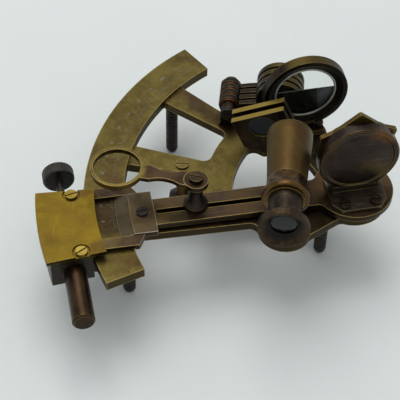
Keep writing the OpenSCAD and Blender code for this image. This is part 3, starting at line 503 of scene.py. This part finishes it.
def old_metal(groups, name, look):
    """Aged metal: a clouded stain over the base, dirt and painted shade in the corners, bare metal on the
    worn edges.
    """
    material, tree, shader = new_material(name)
    look = {**METAL_DEFAULTS, **look}
    shader.inputs["Metallic"].default_value = look["metallic"]
    patina = use(tree, groups["patina"], Scale=look["scale"], Stretch=look["stretch"])
    grime_and_shade = use(tree, groups["grime_and_shade"], Reach=look["corner"] * MM, Amount=look["grime_and_shade"])["Mask"]
    colour = metal_colour(tree, groups, look, patina, grime_and_shade)
    tree.links.new(colour, shader.inputs["Base Color"])
    rough = ramp(tree, patina["Wipe"], 0.3, 0.7, *look["rough"])
    rough = calculate(tree, "MULTIPLY_ADD", grime_and_shade, GRIME_ROUGH, rough, clamp=True)
    tree.links.new(rough, shader.inputs["Roughness"])
    tree.links.new(metal_relief(tree, look, patina), shader.inputs["Normal"])
    return material


def clear_glass(groups, name, colour, rough, bend):
    """Polished clear glass, with a faint cloudy haze."""
    material, tree, shader = new_material(name)
    shader.inputs["Transmission Weight"].default_value = 1.0
    shader.inputs["IOR"].default_value = bend
    patina = use(tree, groups["patina"], Scale=120.0)
    haze = ramp(tree, patina["Cloud"], 0.45, 0.75)
    tree.links.new(tint(tree, haze, colour, tuple(c * 0.93 for c in colour)), shader.inputs["Base Color"])
    tree.links.new(ramp(tree, patina["Wipe"], 0.4, 0.8, rough, rough + 0.05), shader.inputs["Roughness"])
    return material


def shade_glass(groups, name, colour):
    """A dark shade's glass: nearly black, with a clean gloss and a little dust."""
    material, tree, shader = new_material(name)
    shader.inputs["Specular IOR Level"].default_value = 0.2
    patina = use(tree, groups["patina"], Scale=90.0)
    haze = ramp(tree, patina["Cloud"], 0.48, 0.8)
    cloudy = tuple(c * 1.7 + 0.006 for c in colour)
    tree.links.new(tint(tree, haze, colour, cloudy), shader.inputs["Base Color"])
    tree.links.new(ramp(tree, patina["Speckle"], 0.5, 0.8, 0.05, 0.22), shader.inputs["Roughness"])
    return material


def silvered(groups, name, bright, spoiled, metallic):
    """Old silvering: smooth, clouded and spotted, darker where it has gone."""
    material, tree, shader = new_material(name)
    shader.inputs["Metallic"].default_value = metallic
    patina = use(tree, groups["patina"], Scale=150.0)
    colour = tint(tree, ramp(tree, patina["Cloud"], 0.50, 0.72), bright, spoiled)
    colour = tint(tree, ramp(tree, patina["Speckle"], 0.62, 0.74), colour, spoiled, 0.6)
    tree.links.new(colour, shader.inputs["Base Color"])
    tree.links.new(ramp(tree, patina["Cloud"], 0.4, 0.8, 0.05, 0.22), shader.inputs["Roughness"])
    return material


def hardwood(groups, name):
    """Dark turned hardwood with a fine grain."""
    material, tree, shader = new_material(name)
    patina = use(tree, groups["patina"], Scale=80.0, Stretch=(0.12, 1.0, 1.0))
    grain = ramp(tree, patina["Wipe"], 0.35, 0.65)
    colour = tint(tree, grain, (0.018, 0.009, 0.006), (0.060, 0.028, 0.015))
    # Corners darkened by occlusion: dirt and painted shade.
    grime_and_shade = use(tree, groups["grime_and_shade"], Reach=2.0 * MM, Amount=0.7)["Mask"]
    tree.links.new(tint(tree, grime_and_shade, colour, SOOT), shader.inputs["Base Color"])
    tree.links.new(ramp(tree, patina["Wipe"], 0.3, 0.7, 0.36, 0.5), shader.inputs["Roughness"])
    tree.links.new(bump(tree, patina["Wipe"], 0.2, 0.15), shader.inputs["Normal"])
    return material


def point(x, y, z):
    """A point of the scene, from millimetres."""
    return (x * MM, y * MM, z * MM)


# Stains: the place in millimetres, the reach, how far it frays, its colour and its share. Some of the
# frame's are painted shadows, and the horizon ring's is a painted highlight.
FRAME_STAINS_AND_SHADOWS = (
    # The next five are painted shadows: on the lower arm under the index arm, under the telescope, under
    # the arm's round end and mirror, under the horizon ring and near shades, and under the far shades'
    # hub.
    (point(-2, -32, 30), 25, 5, UMBER, 0.90),
    (point(24, -30, 31), 25, 5, UMBER_SHADE, 0.85),
    (point(51, -8, 31), 21, 5, UMBER_SHADE, 0.85),
    (point(36, 24, 31), 22, 5, UMBER_SHADE, 0.85),
    (point(6, 27, 31), 9, 5, UMBER, 0.85),
    (point(-9, 42, 31), 4, 4, TOBACCO, 0.70),
    # A painted shadow on the limb under the index arm's fork.
    (point(-40, -22, 33), 12, 4, UMBER, 0.85),
    (point(-38, -4, 33), 6, 4, TOBACCO, 0.75),
    (point(-30, -44, 33), 5, 3, TOBACCO, 0.80),
    (point(-26, -52, 33), 3, 3, TOBACCO, 0.70),
    (point(-7, 62, 33), 5, 4, TOBACCO, 0.60),
    (point(-28, 36, 33), 4, 4, OLIVE_SHADE, 0.70),
    (point(-13.4, 44.4, 31.5), 6, 4, between(PLUM, TOBACCO, 0.5), 0.65),
    (point(-7.4, 38.3, 31.5), 8, 4, between(PLUM, UMBER, 0.4), 0.75),
    (point(-1.8, 32.8, 31.5), 8, 4, UMBER, 0.80),
    (point(-32, -48, 33), 5.0, 4, between(UMBER, TOBACCO, 0.6), 0.70),
    (point(-27, -45, 33), 3.5, 2.5, UMBER, 0.70),
    (point(-38, -44, 33), 4.0, 3, TOBACCO, 0.75),
)

ARM_STAINS = (
    (point(51, -8, 34), 17, 6, TOBACCO, 0.55),
    (point(-40, -34, 35), 9, 5, between(TOBACCO, OLIVE_PALE, 0.5), 0.65),
    (point(-20, -24, 35), 7, 5, between(TOBACCO, OLIVE, 0.4), 0.55),
    (point(10, -16, 35), 8, 6, between(TOBACCO, UMBER, 0.3), 0.50),
)

COVER_STAINS = (
    (point(*COVER_SCREWS[0], 36), 4.6, 1.6, between(TOBACCO, YELLOW_SHADE, 0.3), 0.70),
    (point(*COVER_SCREWS[1], 36), 4.6, 1.6, between(TOBACCO, YELLOW_SHADE, 0.3), 0.70),
    (point(-62, -18, 36), 3.0, 2.5, YELLOW_SHADE, 0.60),
    (point(-58, -38, 36), 4.0, 3.5, YELLOW_SHADE, 0.50),
)

MIRROR_CELL_STAINS = (
    (point(60, -11, 64), 7, 3, (0.190, 0.075, 0.020), 0.70),
    (point(59, -11, 47), 7, 3.5, between(TOBACCO, OLIVE, 0.5), 0.60),
    (point(41, -14, 60), 5, 3, TOBACCO, 0.60),
    (point(48, -13, 44), 4, 4, UMBER, 0.50),
)

MAGNIFIER_STAINS = ((point(-36.1, -12.5, 47.4), 11.6, 2, between(OLIVE_PALE, YELLOW), 0.80),)
EYECUP_STAINS = ((point(23.5, -41, 52), 7.6, 1.2, SOOT, 0.85),)
# A painted highlight along the top of the horizon ring.
HORIZON_TOP_HIGHLIGHT = ((point(34, 25.1, 72), 14, 4, between(OLIVE, TOBACCO), 0.75),)
FAR_LEAF_STAINS = ((point(26, 35, 51), 9, 3, between(OLIVE, TOBACCO), 0.75),)
VERNIER_STAINS = tuple(
    (polar(86.4, angle, 34.4), 3.4, 1, (0.100, 0.078, 0.048), 0.7)
    for angle in (185.5, 189.2, 192.8, 196.5)
)

METAL_LOOKS = {
    # Upright faces darker: tarnish and painted shade.
    "frame_brass": {
        "light": between(OLIVE, OLIVE_PALE, 0.3), "dark": OLIVE_SHADE, "pale": (0.230, 0.175, 0.050),
        "bare": between(DULL_GOLD, BARE_GOLD, 0.3), "rough": (0.40, 0.58), "scale": 60.0, "wipe": 0.5,
        "spots": 0.55, "stains_and_light_patches": FRAME_STAINS_AND_SHADOWS, "hairs": 0.5, "hair_stretch": (0.06, 0.9, 1.0),
        "hair_turn": 50.0, "sides": 0.75, "upright_tarnish_and_shade_colour": between(UMBER_SHADE, OLIVE_SHADE, 0.4),
        "wear": 1.3, "edge": 0.55,
    },
    # Upright faces darker: tarnish and painted shade.
    "cover_brass": {
        "light": YELLOW, "dark": between(YELLOW, YELLOW_SHADE, 0.6), "pale": YELLOW_PALE,
        "bare": YELLOW_PALE, "rough": (0.38, 0.55), "scale": 95.0, "stretch": (1.0, 0.35, 1.0),
        "spots": 0.6, "stains_and_light_patches": COVER_STAINS, "hairs": 0.3, "hair_stretch": (0.9, 0.06, 1.0),
        "sides": 0.8, "wear": 0.8, "cast": 0.5,
    },
    "fitting_brass": {
        "light": between(YELLOW, TOBACCO, 0.35), "dark": TOBACCO, "scale": 180.0, "grime_and_shade": 1.0,
        "corner": 0.8, "wear": 0.6, "edge": 0.25,
    },
    "brown_brass": {
        "light": UMBER, "dark": UMBER_SHADE, "bare": DULL_GOLD, "scale": 65.0, "wear": 0.7, "edge": 0.4,
    },
    # Upright faces darker: tarnish and painted shade.
    "arm_bronze": {
        "light": (0.066, 0.045, 0.022), "dark": between(PLUM, PLUM_SHADE, 0.5),
        "pale": between(TOBACCO, OLIVE_PALE, 0.4), "bare": between(DULL_GOLD, BARE_GOLD, 0.3),
        "scale": 75.0, "stains_and_light_patches": ARM_STAINS, "hairs": 0.35, "hair_stretch": (0.05, 1.0, 1.0),
        "hair_turn": -11.0, "sides": 0.6, "wear": 1.3, "edge": 0.45,
    },
    # Upright faces darker: tarnish and painted shade.
    "vernier_bronze": {
        "light": (0.088, 0.061, 0.028), "dark": (0.048, 0.033, 0.019), "pale": (0.140, 0.104, 0.048),
        "bare": between(DULL_GOLD, IRON, 0.45), "scale": 90.0, "stains_and_light_patches": VERNIER_STAINS, "hairs": 0.3,
        "sides": 0.5, "wear": 3.0, "edge": 0.4, "breakup": 500.0,
    },
    "magnifier_bronze": {
        "light": between(PLUM, TOBACCO, 0.4), "dark": PLUM_SHADE, "pale": TOBACCO,
        "bare": between(DULL_GOLD, BARE_GOLD, 0.3), "scale": 80.0, "stains_and_light_patches": MAGNIFIER_STAINS,
        "wear": 1.0, "edge": 0.6,
    },
    "telescope_brass": {
        "light": between(OLIVE, TOBACCO, 0.35), "dark": TOBACCO, "pale": OLIVE, "rough": (0.42, 0.54),
        "scale": 55.0, "stretch": (1.0, 0.2, 1.0), "wipe": 0.3, "hairs": 0.2,
        "hair_stretch": (1.0, 0.05, 1.0), "hair_turn": 4.0, "wear": 0.6,
    },
    "collar_brass": {
        "light": (0.130, 0.070, 0.022), "dark": UMBER, "pale": (0.220, 0.130, 0.045),
        "bare": (0.200, 0.120, 0.045), "rough": (0.22, 0.34), "scale": 80.0, "wear": 0.3,
    },
    "tube_bronze": {
        "light": between(UMBER, SLATE, 0.5), "dark": UMBER_SHADE, "bare": DULL_GOLD,
        "rough": (0.30, 0.45), "scale": 80.0, "hairs": 0.4, "hair_stretch": (0.2, 1.0, 0.2),
        "wear": 0.6,
    },
    "eyecup_black": {
        "light": between(UMBER, TOBACCO, 0.2), "dark": UMBER_SHADE, "bare": TOBACCO, "metallic": 0.8,
        "rough": (0.32, 0.48), "scale": 120.0, "stains_and_light_patches": EYECUP_STAINS, "grime_and_shade": 0.9, "dirt_and_shade": SOOT,
        "wear": 0.9, "edge": 0.4,
    },
    "mirror_cell_bronze": {
        "light": between(SLATE, PLUM, 0.6), "dark": PLUM_SHADE, "pale": between(SLATE, PLUM, 0.3),
        "bare": between(TOBACCO, DULL_GOLD, 0.45), "rough": (0.28, 0.42), "scale": 75.0,
        "stains_and_light_patches": MIRROR_CELL_STAINS, "hairs": 0.22, "hair_stretch": (0.03, 0.03, 1.0),
        "hair_colour": between(SLATE, IRON, 0.3), "grime_and_shade": 0.3, "wear": 1.4, "edge": 0.6,
    },
    "gable_brass": {
        "light": OLIVE, "dark": TOBACCO, "pale": OLIVE_PALE, "bare": between(BARE_GOLD, DULL_GOLD, 0.5),
        "scale": 80.0, "wear": 0.9, "edge": 0.35,
    },
    "base_bronze": {
        "light": (0.105, 0.088, 0.066), "dark": (0.050, 0.044, 0.034), "bare": DULL_GOLD,
        "scale": 110.0, "hairs": 0.3, "wear": 1.2, "edge": 0.3,
    },
    # Upright faces nearly black: tarnish and painted shade; a painted highlight along the top.
    "horizon_bronze": {
        "light": between(UMBER, SOOT_WORN, 0.3), "dark": UMBER_SHADE, "bare": DULL_GOLD, "scale": 70.0,
        "stains_and_light_patches": HORIZON_TOP_HIGHLIGHT, "sides": 0.85, "upright_tarnish_and_shade_colour": SOOT, "wear": 0.7, "edge": 0.35,
    },
    "far_leaf_bronze": {
        "light": UMBER_SHADE, "dark": SOOT, "pale": UMBER, "bare": DULL_GOLD, "metallic": 0.8,
        "scale": 80.0, "stains_and_light_patches": FAR_LEAF_STAINS, "wear": 1.0, "edge": 0.4,
    },
    # Top faces bright: bare metal and a painted highlight.
    "near_leaf_bronze": {
        "light": UMBER, "dark": UMBER_SHADE, "bare": DULL_GOLD, "scale": 80.0, "spots": 0.3,
        "top": (between(BARE_GOLD, YELLOW_PALE, 0.7), 0.9), "wear": 0.9, "edge": 0.35, "breakup": 300.0,
    },
    "box_bronze": {
        "light": between(SOOT_WORN, UMBER, 0.35), "dark": SOOT_WORN, "bare": TOBACCO, "metallic": 0.75,
        "scale": 80.0, "wear": 0.5, "edge": 0.5,
    },
    "sleeve_bronze": {
        "light": between(TOBACCO, PLUM, 0.45), "dark": UMBER_SHADE, "pale": TOBACCO, "bare": DULL_GOLD,
        "rough": (0.26, 0.40), "scale": 70.0, "hairs": 0.3, "hair_stretch": (1.0, 0.06, 1.0),
        "wear": 0.9, "edge": 0.4,
    },
    "knob_black": {
        "light": between(SOOT, SOOT_WORN, 0.4), "dark": SOOT, "bare": (0.110, 0.100, 0.090),
        "metallic": 0.6, "rough": (0.30, 0.45), "scale": 120.0, "wear": 1.0, "edge": 0.25,
        "breakup": 300.0,
    },
    "leg_black": {
        "light": SOOT_WORN, "dark": SOOT, "bare": SLATE, "metallic": 0.6, "rough": (0.34, 0.5),
        "scale": 120.0, "wear": 0.6, "edge": 0.3, "rings": 190.0,
    },
    "black_metal": {
        "light": SOOT_WORN, "dark": SOOT, "bare": SLATE, "metallic": 0.5, "rough": (0.34, 0.5),
        "scale": 120.0, "wear": 0.5, "edge": 0.25,
    },
    "dark_bronze": {
        "light": between(UMBER, SOOT_WORN, 0.4), "dark": SOOT_WORN, "bare": TOBACCO, "scale": 100.0,
        "corner": 0.8, "wear": 0.9, "edge": 0.25,
    },
    "screw_gold": {
        "light": between(YELLOW_PALE, BARE_GOLD, 0.3), "dark": YELLOW, "scale": 160.0, "corner": 0.7,
        "wear": 0.8, "edge": 0.25,
    },
    "copper": {
        "light": COPPER, "dark": UMBER, "bare": COPPER, "scale": 140.0, "wear": 0.3,
    },
    # A pale, half-metallic finish that paints the highlight on the horizon glass's edge.
    "highlight_bead_metal": {
        "light": (0.540, 0.560, 0.500), "dark": (0.200, 0.200, 0.160), "bare": IRON, "metallic": 0.3,
        "rough": (0.25, 0.4), "scale": 220.0, "grime_and_shade": 0.0, "wear": 0.5,
    },
    "engraving": {
        "light": (0.300, 0.285, 0.240), "dark": (0.150, 0.135, 0.095), "metallic": 0.3,
        "rough": (0.5, 0.7), "scale": 120.0, "spots": 0.3, "grime_and_shade": 0.0, "wear": 0.0,
    },
    "steel": {
        "light": IRON, "dark": tuple(c * 0.4 for c in IRON), "bare": IRON, "scale": 90.0, "wear": 0.3,
    },
}

# The finish of a node where it differs from that of its slot's other pieces
NODE_LOOK = {
    "frame": "frame_brass",
    "handle_screws": "frame_brass",
    "tangent_cover": "cover_brass",
    "cover_screws": "screw_gold",
    "index_arm": "arm_bronze",
    "vernier_plate": "vernier_bronze",
    "magnifier_arm": "magnifier_bronze",
    "telescope_body": "telescope_brass",
    "telescope_holder": "collar_brass",
    "draw_tube": "tube_bronze",
    "eyecup": "eyecup_black",
    "index_mirror_cell": "mirror_cell_bronze",
    "index_mirror_bezel": "gable_brass",
    "index_mirror_base": "base_bronze",
    "horizon_ring": "horizon_bronze",
    "far_shade_1": "far_leaf_bronze",
    "far_shade_2": "far_leaf_bronze",
    "far_shade_3": "far_leaf_bronze",
    "far_shade_4": "far_leaf_bronze",
    "tangent_box": "box_bronze",
    "spring_sleeve": "sleeve_bronze",
    "tangent_screw": "knob_black",
    "legs": "leg_black",
    "magnifier_lens": "thin_glass",
    "eye_lens": "eye_glass",
    "objective_lens": "eye_glass",
    "horizon_silvering": "silver_painted_dark",
}

# The finish of each of the record's slots
SLOT_LOOK = {
    "limb_brass": "fitting_brass",
    "cover_brass": "fitting_brass",
    "brown_brass": "brown_brass",
    "scope_brass": "telescope_brass",
    "edge_brass": "near_leaf_bronze",
    "black_metal": "black_metal",
    "dark_bronze": "dark_bronze",
    "copper": "copper",
    "steel": "steel",
    "wood": "wood",
    "clear_glass": "clear_glass",
    "mirror": "mirror",
    "dark_glass": "dark_glass",
    "green_glass": "green_glass",
    "red_glass": "red_glass",
}


def make_finishes():
    """Every finish, by name."""
    groups = make_groups()
    finishes = {name: old_metal(groups, name, look) for name, look in METAL_LOOKS.items()}
    finishes["wood"] = hardwood(groups, "wood")
    finishes["clear_glass"] = clear_glass(groups, "clear_glass", (0.93, 0.96, 0.95), 0.01, 1.3)
    finishes["thin_glass"] = clear_glass(groups, "thin_glass", (0.96, 0.98, 0.97), 0.0, 1.04)
    # The eyepiece and objective glass is tinted nearly black: painted shade for the dark inside of the
    # telescope seen through it.
    finishes["eye_glass"] = clear_glass(groups, "eye_glass", (0.035, 0.045, 0.055), 0.03, 1.45)
    finishes["mirror"] = silvered(groups, "mirror", (0.62, 0.64, 0.63), (0.18, 0.17, 0.15), 1.0)
    # The horizon glass's silvering is made nearly black: a painted reflection of the dark things it
    # faces.
    finishes["silver_painted_dark"] = silvered(
        groups, "silver_painted_dark", (0.050, 0.054, 0.048), (0.018, 0.019, 0.016), 0.5
    )
    finishes["dark_glass"] = shade_glass(groups, "dark_glass", (0.006, 0.007, 0.010))
    finishes["green_glass"] = shade_glass(groups, "green_glass", (0.005, 0.012, 0.009))
    finishes["red_glass"] = shade_glass(groups, "red_glass", (0.018, 0.005, 0.005))
    return finishes


def dress_nodes(frame, finishes):
    """Gives every CAD node its finish."""
    for entry in frame["record"]["subparts"]:
        node = entry["node"]
        piece = frame["nodes"][node]
        look = NODE_LOOK.get(node, SLOT_LOOK[entry["material_slot"]])
        piece.data.materials.clear()
        piece.data.materials.append(finishes[look])


# The graduations of the limb and the vernier


def edit_whole():
    """Opens the active piece for editing with all of it selected."""
    bpy.ops.object.mode_set(mode="EDIT")
    bpy.ops.mesh.select_mode(type="VERT")
    bpy.ops.mesh.select_all(action="SELECT")


def edit_top(piece):
    """Opens the active piece for editing with only its top faces selected."""
    edit_whole()
    bpy.ops.mesh.select_all(action="DESELECT")
    bpy.ops.mesh.select_mode(type="FACE")
    bpy.ops.object.mode_set(mode="OBJECT")
    for face in piece.data.polygons:
        face.select = face.normal.z > 0.9
    bpy.ops.object.mode_set(mode="EDIT")


def make_marks(name, length, angles, inner, height, slope=0.0):
    """Equal ridges at equal steps round the pivot: the first is shaped, then copied round."""
    first, last, step = angles
    deselect()
    turn = math.radians(first)
    bpy.ops.mesh.primitive_cube_add(
        size=1.0,
        location=polar(inner + length / 2, first, height - slope * length / 2),
        rotation=(0.0, math.atan(slope), turn),
        scale=(length * MM, MARK_WIDTH * MM, 2 * MARK_PROUD * MM),
    )
    marks = bpy.context.object
    marks.name = name
    edit_top(marks)
    bpy.ops.transform.resize(value=(MARK_TOP_SHARE, MARK_TOP_SHARE, 1.0), orient_type="GLOBAL")
    bpy.ops.mesh.bevel(offset=MARK_BEVEL * MM, segments=1, affect="EDGES")
    bpy.ops.object.mode_set(mode="OBJECT")
    bpy.ops.object.transform_apply(location=True, rotation=True, scale=True)
    count = round((last - first) / step)
    edit_whole()
    if count:
        bpy.ops.mesh.spin(
            steps=abs(count),
            dupli=True,
            angle=math.radians(first - last),
            center=PIVOT,
            axis=(0.0, 0.0, 1.0),
        )
    bpy.ops.object.mode_set(mode="OBJECT")
    return marks


def make_number(word, angle):
    """A number of the scale, its head towards the pivot."""
    deselect()
    bpy.ops.object.text_add(
        location=polar(NUMBER_AT, angle, LIMB_TOP), rotation=(0.0, 0.0, math.radians(angle + 90))
    )
    number = bpy.context.object
    number.data.body = word
    number.data.size = NUMBER_HEIGHT * MM
    number.data.extrude = MARK_PROUD * MM
    number.data.align_x = "CENTER"
    number.data.align_y = "CENTER"
    number.data.resolution_u = 3
    bpy.ops.object.convert(target="MESH")
    bpy.ops.object.transform_apply(location=True, rotation=True, scale=True)
    edit_whole()
    bpy.ops.mesh.remove_doubles(threshold=WELD * MM)
    bpy.ops.object.mode_set(mode="OBJECT")
    return bpy.context.object


def join_as(name, pieces, body, finish):
    """Makes one piece of these, which rides on a body, in a finish."""
    whole = pieces[0]
    if len(pieces) > 1:
        deselect()
        for piece in pieces:
            piece.select_set(True)
        bpy.context.view_layer.objects.active = whole
        bpy.ops.object.join()
    whole.name = name
    whole.data.name = name
    whole.data.materials.clear()
    whole.data.materials.append(finish)
    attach(whole, body)
    return whole


def make_limb_scale(finish):
    """The limb's scale: a mark for each degree read, longer at fives and tens, and the tens' numbers."""
    pieces = []
    start = 0.0
    for name, first, step, end in (
        ("degrees", SCALE_BACK, DEGREE_STEP, SCALE_MARK),
        ("fives", SCALE_BACK, 5 * DEGREE_STEP, SCALE_LONG_MARK),
        ("tens", 0.0, 10 * DEGREE_STEP, SCALE_LONGEST_MARK),
    ):
        angles = (ARM_ANGLE + first, ARM_ANGLE - SCALE_SPAN, -step)
        pieces.append(make_marks(name, end - start, angles, SCALE_INNER + start, LIMB_TOP))
        start = end - MARK_OVERLAP
    for tens in range(round(SCALE_SPAN / DEGREE_STEP / 10) + 1):
        pieces.append(make_number(str(10 * tens), ARM_ANGLE - 10 * DEGREE_STEP * tens))
    return join_as("limb_scale", pieces, "frame", finish)


def make_vernier_scale(finish):
    """The vernier's marks, down its sloping edge."""
    slope = math.tan(VERNIER_SLOPE)
    height = VERNIER_EDGE_TOP + slope * SCALE_LONG_MARK
    inner = VERNIER_EDGE - SCALE_LONG_MARK - VERNIER_MARGIN
    pieces = []
    for name, length, step, start in (
        ("vernier_marks", SCALE_MARK, VERNIER_STEP, VERNIER_SHORT_START),
        ("vernier_long", SCALE_LONG_MARK, 5 * VERNIER_STEP, 0.0),
    ):
        angles = (ARM_ANGLE - VERNIER_HALF, ARM_ANGLE + VERNIER_HALF, step)
        pieces.append(make_marks(name, length, angles, inner + start, height - start * slope, slope))
    return join_as("vernier_scale", pieces, "index_arm", finish)


# Small pieces that only the scene has


def make_glass_edge_highlight(finish):
    """A pale round bead at the horizon glass's rim: a painted highlight standing for the glint on the
    glass's bevelled edge.
    """
    deselect()
    axis = Vector((-math.sin(HORIZON_TURN), math.cos(HORIZON_TURN), 0.0))
    centre = PIVOT + HORIZON_CENTRE * MM - axis * BEAD_AHEAD * MM
    bpy.ops.mesh.primitive_torus_add(
        major_radius=BEAD_R * MM,
        minor_radius=BEAD_HALF * MM,
        major_segments=96,
        minor_segments=12,
        location=centre,
        rotation=(math.radians(90), 0.0, HORIZON_TURN),
    )
    bead = bpy.context.object
    bpy.ops.object.transform_apply(location=True, rotation=True, scale=True)
    bpy.ops.object.shade_smooth()
    return join_as("glass_edge_highlight", [bead], "frame", finish)


def make_stop_screw(finish):
    """The round-headed slotted screw on the web beside the horizon glass."""
    deselect()
    foot = polar(*STOP_SCREW_AT, WEB_TOP)
    bpy.ops.mesh.primitive_cylinder_add(
        vertices=48,
        radius=STOP_SCREW_R * MM,
        depth=STOP_SCREW_H * MM,
        location=foot + Vector((0.0, 0.0, STOP_SCREW_H / 2)) * MM,
    )
    screw = bpy.context.object
    bpy.ops.object.transform_apply(location=True, rotation=True, scale=True)
    edit_top(screw)
    bpy.ops.mesh.bevel(offset=STOP_SCREW_DOME * MM, segments=4, affect="EDGES")
    bpy.ops.object.mode_set(mode="OBJECT")
    bpy.ops.mesh.primitive_cube_add(
        size=1.0,
        location=foot + Vector((0.0, 0.0, STOP_SCREW_H)) * MM,
        rotation=(0.0, 0.0, STOP_SCREW_TURN),
        scale=STOP_SCREW_SLOT * MM,
    )
    cutter = bpy.context.object
    bpy.context.view_layer.objects.active = screw
    slot = screw.modifiers.new("slot", "BOOLEAN")
    slot.operation = "DIFFERENCE"
    slot.object = cutter
    bpy.ops.object.modifier_apply(modifier="slot")
    deselect()
    cutter.select_set(True)
    bpy.ops.object.delete()
    screw.select_set(True)
    bpy.context.view_layer.objects.active = screw
    bpy.ops.object.shade_smooth_by_angle(angle=STOP_SCREW_SMOOTH)
    return join_as("stop_screw", [screw], "frame", finish)


def make_return_spring(finish):
    """The wire spring behind the plunger, built as one coil at its rest length."""
    low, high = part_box("return_spring")
    length = (high.y - low.y - 2 * SPRING_R * MM * abs(SLIDE_AXIS.x)) / abs(SLIDE_AXIS.y)
    deselect()
    bpy.ops.mesh.primitive_circle_add(
        vertices=12,
        radius=SPRING_WIRE / 2 * MM,
        location=((SPRING_R - SPRING_WIRE / 2) * MM, 0.0, SPRING_WIRE / 2 * MM),
        rotation=(math.radians(90), 0.0, 0.0),
    )
    spring = bpy.context.object
    bpy.ops.object.transform_apply(location=True, rotation=True, scale=True)
    coil = spring.modifiers.new("coil", "SCREW")
    coil.axis = "Z"
    coil.screw_offset = (length - SPRING_WIRE * MM) / SPRING_TURNS
    coil.iterations = SPRING_TURNS
    coil.steps = 20
    coil.render_steps = 20
    coil.use_merge_vertices = True
    bpy.ops.object.modifier_apply(modifier="coil")
    edit_whole()
    bpy.ops.mesh.remove_doubles(threshold=WELD * MM)
    bpy.ops.mesh.select_all(action="DESELECT")
    bpy.ops.mesh.select_non_manifold()
    bpy.ops.mesh.fill()
    bpy.ops.mesh.select_all(action="SELECT")
    bpy.ops.mesh.normals_make_consistent(inside=False)
    bpy.ops.object.mode_set(mode="OBJECT")
    bpy.ops.object.shade_smooth_by_angle(angle=SPRING_SMOOTH)
    middle = (low + high) / 2
    spring.rotation_euler = SLIDE_AXIS.to_track_quat("Z", "Y").to_euler()
    spring.location = middle - SLIDE_AXIS * length / 2
    bpy.ops.object.transform_apply(location=True, rotation=True, scale=True)
    spring = join_as("return_coil", [spring], "clamp", finish)
    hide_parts("return_spring")
    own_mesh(spring)
    return spring


# The table, the light and the camera

# Each lamp's name, place, width, power and colour
LAMPS = (
    ("window", (-0.15, 0.40, 1.2), 0.8, 6.3, (1.0, 0.99, 0.97)),
    ("ceiling", (-0.3, -0.1, 1.4), 1.2, 1.6, (0.97, 0.99, 1.0)),
)
LAMP_AIM = Vector((0.0, 0.0, 0.03))
ROOM_COLOUR = (0.97, 0.99, 1.0, 1.0)
ROOM_STRENGTH = 0.60


def make_table():
    """The pale table top, a little scuffed."""
    deselect()
    bpy.ops.mesh.primitive_plane_add(size=4.0, location=(0.0, 0.0, 0.0))
    table = bpy.context.object
    table.name = "table"
    material, tree, shader = new_material("table")
    coords = tree.nodes.new("ShaderNodeTexCoord").outputs["Object"]
    cloud = add(tree, "ShaderNodeTexNoise", Vector=coords, Scale=14.0, Detail=3.0)
    scuff = add(tree, "ShaderNodeTexNoise", Vector=coords, Scale=160.0, Detail=6.0, Roughness=0.7)
    tone = ramp(tree, cloud.outputs["Fac"], 0.3, 0.7)
    colour = tint(tree, tone, TABLE, tuple(c * 1.03 for c in TABLE))
    marks = ramp(tree, scuff.outputs["Fac"], 0.62, 0.80)
    colour = tint(tree, marks, colour, tuple(c * 0.93 for c in TABLE))
    tree.links.new(colour, shader.inputs["Base Color"])
    tree.links.new(ramp(tree, scuff.outputs["Fac"], 0.3, 0.7, 0.55, 0.75), shader.inputs["Roughness"])
    table.data.materials.append(material)


def make_lights():
    """A pale room and soft lamps above and behind, so that shadows fall towards the viewer."""
    world = bpy.data.worlds.new("room")
    bpy.context.scene.world = world
    world.use_nodes = True
    background = world.node_tree.nodes["Background"]
    background.inputs["Color"].default_value = ROOM_COLOUR
    background.inputs["Strength"].default_value = ROOM_STRENGTH
    for name, at, size, power, colour in LAMPS:
        lamp = bpy.data.lights.new(name, "AREA")
        lamp.size = size
        lamp.energy = power
        lamp.color = colour
        holder = bpy.data.objects.new(name, lamp)
        bpy.context.scene.collection.objects.link(holder)
        holder.location = at
        holder.rotation_euler = (LAMP_AIM - Vector(at)).to_track_quat("-Z", "Y").to_euler()


def make_camera():
    """The camera of the photograph."""
    lens = bpy.data.cameras.new("photo_camera")
    lens.lens = CAMERA_LENS
    lens.sensor_width = SENSOR
    lens.clip_start = 0.01
    camera = bpy.data.objects.new("photo_camera", lens)
    bpy.context.scene.collection.objects.link(camera)
    camera.location = CAMERA_AT
    forward = Vector((0.0, math.cos(CAMERA_PITCH), -math.sin(CAMERA_PITCH)))
    level = forward.to_track_quat("-Z", "Y").to_matrix()
    roll = Matrix.Rotation(CAMERA_ROLL, 3, "Z")
    camera.rotation_euler = (level @ roll).to_euler()
    bpy.context.scene.camera = camera


def main():
    """Dresses the nodes, adds the small pieces, and sets the table, the lamps and the camera."""
    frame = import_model()
    deselect()
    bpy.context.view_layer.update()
    make_camera()
    finishes = make_finishes()
    dress_nodes(frame, finishes)
    make_limb_scale(finishes["engraving"])
    make_vernier_scale(finishes["engraving"])
    make_glass_edge_highlight(finishes["highlight_bead_metal"])
    make_stop_screw(finishes["dark_bronze"])
    make_return_spring(finishes["steel"])
    make_table()
    make_lights()
    bpy.context.scene.view_settings.view_transform = "Standard"


main()
